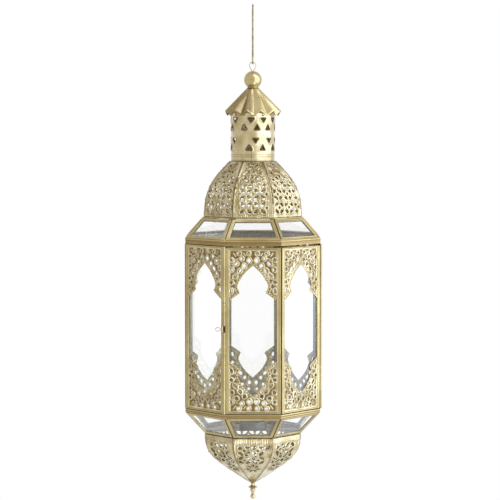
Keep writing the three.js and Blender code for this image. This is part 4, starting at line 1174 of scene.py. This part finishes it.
# %% [markdown]
# The dome is eight gores of pierced sheet, each cut like a segment of orange peel, bent along one curve and
# soldered to its neighbours. The punches are the traditional ones: four lens-shaped cuts make a rosette
# round a dot. The bowl is made in the same way, upside down. Here each gore is drawn flat, with s measured
# along the curve, and then laid on the curve.

# %% Gores
GORE_SHEET, GORE_STEP = 0.9, 0.95
DOME_FOOT = foot_of("dome_gore_1")
DOME_CURVE = [(71.4, 0), (71.4, 36), (64.1, 50), (33.6, 81.3)]
BOWL_CURVE = [(70.4, 0), (70.4, -30), (62.4, -36), (5.5, -77)]
PETAL, PETAL_RING, PETAL_DOT = (9.2, 5.0), 7.1397, 3.9
SPOKE, SPOKE_RING, SPOKES = (7.4, 3.8), (6.6, 8.2), 7
RIB_ROOM = 2.1  # how near the gore's edge a cut may come


class Bend:
    """A curve in the (radius, z) plane, read by the length s along it."""

    def __init__(self, control, foot):
        t = np.linspace(0, 1, 400)[:, None]
        a, b, c, d = (np.array(p, float) for p in control)
        line = a * (1 - t) ** 3 + 3 * b * t * (1 - t) ** 2 + 3 * c * t**2 * (1 - t) + d * t**3
        self.line = line + (0, foot)
        steps = np.hypot(*np.diff(self.line, axis=0).T)
        self.s = np.r_[0, np.cumsum(steps)]
        self.length = self.s[-1]
        way = np.gradient(self.line, self.s, axis=0)
        way /= np.linalg.norm(way, axis=1)[:, None]
        up = 1 if control[-1][1] > control[0][1] else -1
        self.out = np.c_[way[:, 1], -way[:, 0]] * up

    def radius(self, s):
        return np.interp(s, self.s, self.line[:, 0])

    def at_height(self, z):
        """The length s at a height above (or drop below) the curve's start."""
        return float(np.interp(abs(z), np.abs(self.line[:, 1] - self.line[0, 1]), self.s))

    def lay(self, flat, height):
        s = flat[:, 1]
        r, z = (np.interp(s, self.s, self.line[:, i]) for i in (0, 1))
        nr, nz = (np.interp(s, self.s, self.out[:, i]) for i in (0, 1))
        return np.c_[flat[:, 0], -(r + height * nr), z + height * nz]


def rosette(u, s):
    """Four lens cuts round a dot."""
    cuts = []
    for degrees in (45, 135, 225, 315):
        a = math.radians(degrees)
        spot = (u + PETAL_RING * math.cos(a), s + PETAL_RING * math.sin(a))
        cuts.append(leaf_hole(*spot, *PETAL, degrees + 90))
    return cuts + [round_hole(u, s, PETAL_DOT)]


def flower(u, s):
    """A wheel of narrow cuts, like the spokes of a flower."""
    cuts = []
    for k in range(SPOKES):
        a = 2 * math.pi * (k + 0.25) / SPOKES
        spot = (u + SPOKE_RING[0] * math.cos(a), s + SPOKE_RING[1] * math.sin(a))
        cuts.append(leaf_hole(*spot, *SPOKE, math.degrees(a)))
    return cuts


def gore(name, bend, cuts, strokes, band, flute_pitch, far_half_shade, rng):
    """One gore: its outline from the curve, the cuts that fit between its ribs, and its relief."""
    s_line = np.linspace(0, bend.length, 60)
    half = bend.radius(s_line) * FACE - 0.05
    outline = np.r_[np.c_[half, s_line], np.c_[-half, s_line][::-1]]
    room = lambda p: bend.radius(p[:, 1]) * FACE - np.abs(p[:, 0])
    holes = [
        cut for cut in cuts
        if room(cut).min() > RIB_ROOM and cut[:, 1].min() > band - 0.5 and cut[:, 1].max() < bend.length - 1.5
    ]
    flat, faces = filled(outline, holes, GORE_STEP)
    across, s = flat.T
    to_edge = room(flat)
    off_rib = np.clip((to_edge - 2.4) / 0.8, 0, 1)
    rims = highest(flat, holes, 3, lambda d: hump(np.abs(d - 0.9), 1.0))
    raised = highest(flat, strokes, 2, lambda d: hump(d, 1.3), closed=False)
    rib = hump(np.abs(to_edge - 1.3), 1.3)
    seam = np.clip(1 - to_edge / 0.5, 0, 1)
    in_band = np.clip((band - s) / 0.8, 0, 1) * np.clip((s - 0.8) / 0.8, 0, 1) * off_rib
    wander = across + 0.35 * np.sin(across * 0.8 + rng.uniform(0, 6))
    flutes = (0.5 + 0.5 * np.cos(wander * 2 * math.pi / flute_pitch)) * in_band
    line_above = hump(np.abs(s - band - 0.4), 0.6) * off_rib
    phase = rng.uniform(0, 6, 4)
    dents = np.sin(across * 0.33 + phase[0]) * np.sin(s * 0.29 + phase[1])
    dents += 0.6 * np.sin(across * 0.71 + phase[2]) * np.sin(s * 0.63 + phase[3])
    height = 0.8 * rims + raised + 0.65 * rib - 0.45 * seam + 1.1 * flutes + 0.35 * line_above + 0.14 * dents
    film = 0.6 * np.clip(in_band - 1.3 * flutes, 0, 1) + 0.35 * hump(to_edge - 2.9, 0.7)
    # painted shade: film over the far half of the curve, on the dome its upper part, standing in for a darker
    # reflection there
    film += 0.3 * hump(np.abs(s - 0.3), 0.9) + far_half_shade * np.clip(s / bend.length * 2 - 1, 0, 1)
    # painted shade: a ring of film just outside the raised rims and curls, where their shadow would fall
    around = np.maximum(
        highest(flat, holes, 4, lambda d: hump(d - 2.2, 1.4)),
        highest(flat, strokes, 3, lambda d: hump(d - 1.5, 1.0), closed=False))
    film += 0.6 * np.clip(around - np.maximum(rims, raised), 0, 1)
    film = np.clip(film, 0, 1) + 1.3 * seam
    return embossed(name, flat, faces, height, film, bend.lay, GORE_SHEET, SHEET_BRASS)


# %% Dome
DOME = Bend(DOME_CURVE, DOME_FOOT)
GRID = 20.2
# the dome's upper half gets painted shade; the bowl gets none
DOME_BAND, DOME_FLUTE, DOME_FAR_HALF_SHADE = 6.5, 2.2, 0.45
SCATTER = [  # kind, across, height, size, lean: the free punches above the rosettes
    ("leaf", 4.4, 74, 4.6, 40), ("dot", -6.3, 65.5, 2.6, 0), ("leaf", -12.9, 57.5, 5.0, 25),
    ("dot", -8.5, 53, 3.2, 0), ("leaf", -1.3, 59.5, 4.2, 100), ("dot", 5.7, 57.5, 3.6, 0),
    ("dot", 9.7, 50.5, 3.0, 0), ("leaf", -0.3, 51, 4.8, 150), ("leaf", -12.3, 46.5, 4.6, 20),
    ("leaf", -3.6, 46.3, 4.4, 160), ("leaf", 15.6, 47, 4.4, 65), ("dot", 14.6, 55, 2.4, 0),
    ("dot", -17.6, 50.5, 2.6, 0), ("dot", 1.2, 67, 2.4, 0), ("leaf", 10.6, 64.5, 4.2, 120),
    ("dot", -2.6, 76.5, 2.0, 0),
]
SCATTER_WIDER = 1.65
CURLS = [  # raised strokes among them, each from one place to another
    ((-9, 69.5), (-3.5, 71.5)), ((-2.5, 63), (4, 64.5)), ((7, 69), (10, 73)), ((-15, 62), (-10.5, 66)),
    ((2, 54), (9, 53.5)), ((-20, 46), (-16, 43.5)), ((12, 60), (16.5, 58.5)), ((-12, 50), (-6, 49)),
    ((3, 47), (10, 45.5)), ((18, 44), (21, 48)), ((-6, 56), (-4.5, 61)), ((-21, 53), (-19, 57)),
]


def scattered(mirror):
    cuts = []
    for kind, u, z, size, lean in SCATTER:
        s = DOME.at_height(z)
        u, size = mirror * u, size * SCATTER_WIDER
        if kind == "dot":
            cuts.append(round_hole(u, s, size))
        else:
            cuts.append(leaf_hole(u, s, size, size / 2, mirror * lean))
    return cuts


def dome_gore(name, offset, mirror, seed):
    across = [offset + k * GRID for k in range(-3, 4)]
    cuts = [cut for row in (14.8, 34.5) for u in across for cut in rosette(u, DOME.at_height(row))]
    strokes = [((mirror * a, DOME.at_height(b)), (mirror * c, DOME.at_height(d))) for (a, b), (c, d) in CURLS]
    for s in (DOME.at_height(24.6), DOME.at_height(43.5)):
        for u in across:
            strokes += [((u - 2.6, s), (u + 2.6, s)), ((u + GRID / 2, s - 3), (u + GRID / 2, s + 3))]
    rng = np.random.default_rng(seed)
    return gore(name, DOME, cuts + scattered(mirror), strokes, DOME_BAND, DOME_FLUTE, DOME_FAR_HALF_SHADE, rng)


DOME_GORES = (("even", [0, 2, 4, 6], -0.5, 1, 21), ("odd", [1, 3, 5, 7], 4.0, -1, 22))
for label, sides, offset, mirror, seed in DOME_GORES:
    made = dome_gore("dome_sheet_" + label, offset, mirror, seed)
    nodes = [f"dome_gore_{side + 1}" for side in sides]
    settle(round_the_lantern(made, sides), "lantern", "brass_sheet", *nodes)
    print("dome gores", label, len(made.data.polygons), "faces")

# %% Bowl
BOWL_GAP = 0.3
BOWL = Bend(BOWL_CURVE, BOWL_RING - BOWL_GAP)
BOWL_GRID = 19.9
BOWL_BAND, BOWL_FLUTE, BOWL_FAR_HALF_SHADE = 9.0, 2.6, 0.0


def bowl_gore(name, offset, seed):
    across = [offset + k * BOWL_GRID for k in range(-2, 3)]
    cuts = [cut for row, shift in ((18.5, 0.0), (36.5, 0.9)) for u in across for cut in rosette(u + shift, row)]
    cuts += flower(offset - 6.9, 59.0)
    cuts += [round_hole(offset + u, 27.5, 1.8) for u in (-3.2, 16.7, -23.1)]
    strokes = [((u + BOWL_GRID / 2, 12), (u + BOWL_GRID / 2, 16)) for u in across]
    rng = np.random.default_rng(seed)
    return gore(name, BOWL, cuts, strokes, BOWL_BAND, BOWL_FLUTE, BOWL_FAR_HALF_SHADE, rng)


for label, sides, offset, seed in (("even", [0, 2, 4, 6], 6.9, 31), ("odd", [1, 3, 5, 7], 8.6, 32)):
    made = bowl_gore("bowl_sheet_" + label, offset, seed)
    settle(round_the_lantern(made, sides), "lantern", "brass_sheet", *(["bowl"] if label == "even" else []))
    print("bowl gores", label, len(made.data.polygons), "faces")

# %% [markdown]
# The chimney is one strip, pierced with triangles, rolled into a tube and closed with an upright seam that
# shows low down at the front. The punch pushes a line up round each cut.

# %% Chimney
CHIMNEY_R, CHIMNEY_SHEET = 32.4, 0.9
CHIMNEY_TOP, CHIMNEY_FOOT = top_of("chimney"), foot_of("chimney")
DEGREE = math.pi * CHIMNEY_R / 180  # one degree round the tube, in millimetres
ROW_HALF = 4.8
DOWN_POINTS, UP_POINTS = (9.4, 7.2, -1), (9.4, 8.6, 1)
ROWS = [  # triangle, drop from the top, degrees from the front
    (DOWN_POINTS, 18.3 - ROW_HALF, (-51.7, -4.8, 28.7, 63.6, 98.6, 133.5, 168.5, -156.6, -121.6, -86.7)),
    (UP_POINTS, 18.3 + ROW_HALF, (-23.3, 11.2, 42.8, 81, 116, 151, -174, -139, -104, -69)),
    (DOWN_POINTS, 48.2 - ROW_HALF, (7, 46.4, 83.5, 120.6, 157.7, -165.2, -128.1, -92, -56)),
    (UP_POINTS, 48.2 + ROW_HALF, (-10.4, 26.4, 64, 102, 139, 176, -146.6, -110.3, -74)),
]
BEAD_DROP, RIM_DROP, SEAM_AT = 65.5, 3.2, -4.0 * DEGREE


def triangle_hole(u, v, width, height, point):
    """A triangle without its sharp corners; point is 1 where its tip is up and -1 where it is down."""
    foot = -point * height / 2
    corners = np.array([(-width / 2, foot), (width / 2, foot), (0, -foot)])
    return softened(corners, (0.1, 0.37, 0.63, 0.9)) + (u, v)


def rolled(p, h):
    angle = p[:, 0] / CHIMNEY_R - math.pi / 2
    return np.c_[(CHIMNEY_R + h) * np.cos(angle), (CHIMNEY_R + h) * np.sin(angle), p[:, 1] + CHIMNEY_FOOT]


def close_at_back(graph):
    ends = [v for v in graph.verts if abs(v.co.x) < 1e-4 and v.co.y > 0]
    bmesh.ops.remove_doubles(graph, verts=ends, dist=0.00003)


def chimney_sheet():
    height = CHIMNEY_TOP - CHIMNEY_FOOT
    edge = np.linspace(-180 * DEGREE, 180 * DEGREE, 60)
    outline = [(x, 0) for x in edge] + [(x, height) for x in edge[::-1]]
    holes = [triangle_hole(a * DEGREE, height - drop, *kind) for kind, drop, angles in ROWS for a in angles]
    flat, faces = filled(outline, holes, 1.0)
    lines = highest(flat, holes, 4, lambda d: hump(np.abs(d - 2.0), 0.8) + 0.7 * hump(np.abs(d - 0.3), 0.8))
    around = highest(flat, holes, 4, lambda d: hump(d - 1.1, 0.7))
    drop, past_seam = height - flat[:, 1], flat[:, 0] - SEAM_AT
    bands = hump(np.abs(drop - BEAD_DROP), 0.9) + 0.6 * hump(np.abs(drop - RIM_DROP), 0.9)
    beside_bead = hump(np.abs(np.abs(drop - BEAD_DROP) - 1.5), 1.0)
    seam = hump(np.abs(past_seam), 0.7) * np.clip((drop - 45) / 6, 0, 1)
    lap = np.where(past_seam > 0, 1, 0) * hump(past_seam - 1.4, 1.4)
    dents = np.sin(flat[:, 0] * 0.22 + 1.1) * np.sin(flat[:, 1] * 0.19 + 0.4)
    relief = 0.7 * np.clip(lines, 0, 1.2) + 0.7 * bands - 0.35 * seam + 0.12 * lap + 0.1 * dents
    film = np.clip(0.95 * around + 0.9 * beside_bead + 0.3 * np.clip(1 - drop / 2.5, 0, 1), 0, 1) + 0.9 * seam
    film = np.maximum(film, np.clip((drop - 69.5) / 4.5, 0, 0.9))
    made = embossed("chimney_tube", flat, faces, relief, film, rolled, CHIMNEY_SHEET, SHEET_BRASS)
    return reworked(made, close_at_back)


chimney = chimney_sheet()
settle(chimney, "lantern", "brass_sheet", "chimney")
print("chimney:", len(chimney.data.polygons), "faces")

# %% [markdown]
# The finial under the bowl is turned on a lathe from one rod: a plug inside the tip, a waist, a sharp disc
# and a bead. The candle cup is spun from thin sheet and stands on a flat strap that lies across the ledge.

# %% Finial, cup and strap
BOWL_TIP = BOWL_RING - BOWL_GAP + BOWL_CURVE[-1][1]
FINIAL = [  # radius, height from the bowl's tip, film
    (0, 5, 0.8), (4.2, 5, 0.8), (4.4, 1, 0.9), (4.6, -0.2, 0.9), (4.2, -0.9, 0.7), (3.4, -1.7, 0.4),
    (2.9, -3.2, 0.1), (2.8, -4.6, 0.1), (3.2, -5.9, 0.5), (4.4, -6.9, 0.4), (6.0, -7.7, 0.1), (6.8, -8.2, 0),
    (7.0, -8.5, 0), (6.8, -8.8, 0), (5.6, -9.4, 0.1), (4.3, -10.1, 0.5), (3.7, -11.0, 0.6), (3.9, -12.2, 0.2),
    (3.7, -13.6, 0), (3.1, -15.4, 0), (2.4, -17.4, 0.2), (1.9, -18.8, 0.7), (2.3, -19.6, 0.6),
    (3.1, -20.6, 0.1), (3.6, -21.8, 0), (3.7, -23.0, 0), (3.4, -24.4, 0), (2.5, -25.6, 0), (1.3, -26.3, 0),
]
finial = [(r, BOWL_TIP + up, deep) for r, up, deep in FINIAL] + [(0, foot_of("bottom_finial"), 0)]
curve = through([(r, z) for r, z, _ in finial], 0.45)
curve[:, 0] = np.maximum(curve[:, 0], 0)
film = np.interp(-curve[:, 1], [-z for _, z, _ in finial], [deep for _, _, deep in finial])
made = turned("turned_finial", np.c_[curve, film], 40, TURNED_BRASS)
settle(made, "lantern", "brass_turned", "bottom_finial")

CUP_TOP, CUP_FOOT = top_of("candle_cup"), foot_of("candle_cup")
CUP_R = 20.5
CUP = [  # in from the rim's radius, z, film: from the middle of its floor out over the rim and back
    (CUP_R, CUP_FOOT + 1.0, 0.5), (1.8, CUP_FOOT + 1.05, 0.8), (1.1, CUP_FOOT + 1.8, 0.7),
    (1.0, CUP_FOOT + 4, 0.2), (1.15, CUP_TOP - 2.0, 0), (1.1, CUP_TOP - 1.2, 0), (0.8, CUP_TOP - 0.2, 0),
    (0.45, CUP_TOP, 0), (0.1, CUP_TOP - 0.15, 0), (0, CUP_TOP - 0.6, 0), (0.1, CUP_TOP - 1.1, 0.3),
    (0.35, CUP_TOP - 2.0, 0.2), (0.2, CUP_FOOT + 4, 0.1), (0.1, CUP_FOOT + 1.1, 0.2),
    (0.5, CUP_FOOT + 0.3, 0.7), (1.4, CUP_FOOT, 0.6), (CUP_R, CUP_FOOT, 0.5),
]
made = turned("spun_cup", [(CUP_R - inward, z, deep) for inward, z, deep in CUP], 72, DULL_BRASS)
settle(made, "lantern", "dull_brass", "candle_cup")

low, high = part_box("candle_strap")
length, width, thick = ((high - low) / MM)[:]
middle = np.array(((low + high) / 2 / MM)[:])
strap = Heap()
side, top = width / 2, thick / 2
section = [(side - 0.4, top), (side, top - 0.3), (side, 0.3 - top), (side - 0.4, -top)]
section += [(-y, -z) for y, z in section]
stations = np.linspace(-length / 2, length / 2, 41)
points = np.array([(x, y, z) for x in stations for y, z in section])
count = len(section)
ends = [tuple(range(count)), tuple(reversed(range(len(points) - count, len(points))))]
strap.add(points + middle, stacked(len(stations), count) + ends, 0.15)
settle(strap.piece("cross_strap", DULL_BRASS), "lantern", "dull_brass", "candle_strap")
print("cup", 2 * CUP_R, "mm across, strap", round(length, 1), "mm long")

# %% [markdown]
# The floor is a plain pale disc. It fades out towards its rim, so it has no edge against the background.

# %% Floor
FLOOR_Z, FLOOR_R, FLOOR_SIDES = -1050.0, 1100.0, 96
FADE_START, FADE_END = 350.0, 0.97 * FLOOR_R
FLOOR_GLOW = 0.55  # what glass and polished metal see of it


def floor_material():
    made, tree, shader, out = new_material(
        "pale_floor", {"Base Color": (0.9, 0.9, 0.9, 1), "Roughness": 0.7, "Emission Color": (1, 1, 1, 1)})
    ray = add_node(tree, "ShaderNodeLightPath").outputs
    seen = maths(tree, "MAXIMUM", ray["Is Glossy Ray"], ray["Is Transmission Ray"])
    feed(tree, shader, {"Emission Strength": maths(tree, "MULTIPLY", seen, FLOOR_GLOW)})
    place = add_node(tree, "ShaderNodeTexCoord").outputs["Object"]
    flat = add_node(tree, "ShaderNodeSeparateXYZ", {0: place}).outputs
    x2, y2 = (maths(tree, "POWER", flat[i], 2.0) for i in (0, 1))
    far = maths(tree, "SQRT", maths(tree, "ADD", x2, y2))
    fade = ramp(tree, far, FADE_START * MM, FADE_END * MM, interpolation_type="SMOOTHSTEP")
    clear = add_node(tree, "ShaderNodeBsdfTransparent")
    mix = add_node(tree, "ShaderNodeMixShader", {0: fade, 1: shader.outputs[0], 2: clear.outputs[0]})
    feed(tree, out, {"Surface": mix.outputs[0]})
    return made


ring = [(FLOOR_R * math.cos(a), FLOOR_R * math.sin(a), FLOOR_Z) for a in angles_round(FLOOR_SIDES)]
floor = new_piece("floor", ring, [range(FLOOR_SIDES)], floor_material(), smooth=0)
print("floor at", FLOOR_Z, "mm")

# %% [markdown]
# A white studio. The camera sees plain white all round, and so do the glass and the polished metal; the
# surroundings themselves give less light than that, so that the lamps can model the forms.

# %% World and lamps
STUDIO_LIGHT = 0.35
LAMP_WHITE = (0.80, 0.93, 1.17)
LAMPS = [  # name, where it is, what it points at, width, watts
    ("key", (1.45, -0.68, -0.1), (0, 0, -0.42), 2.8, 40),
    ("top", (0.56, -0.56, 0.88), (0, 0, -0.16), 1.0, 5.5),
    ("low", (0.5, -0.9, -1.0), (0, 0, -0.68), 0.6, 3),
]

world = bpy.data.worlds.new("studio")
world.use_nodes = True
bpy.context.scene.world = world
tree = world.node_tree
background = next(n for n in tree.nodes if n.type == "BACKGROUND")
ray = add_node(tree, "ShaderNodeLightPath").outputs
seen = maths(tree, "ADD", ray["Is Camera Ray"], ray["Is Glossy Ray"])
seen = maths(tree, "MINIMUM", maths(tree, "ADD", seen, ray["Is Transmission Ray"]), 1.0)
glow = maths(tree, "MULTIPLY_ADD", seen, 1 - STUDIO_LIGHT, STUDIO_LIGHT)
feed(tree, background, {"Color": (1, 1, 1, 1), "Strength": glow})

for name, at, towards, width, watts in LAMPS:
    made = bpy.data.objects.new(name, bpy.data.lights.new(name, "AREA"))
    made.data.shape, made.data.size, made.data.energy = "DISK", width, watts
    made.data.color = LAMP_WHITE
    made.location = at
    made.rotation_euler = (Vector(towards) - Vector(at)).to_track_quat("-Z", "Y").to_euler()
    made.visible_camera = False
    bpy.context.scene.collection.objects.link(made)
bpy.context.scene.view_settings.view_transform = "Standard"
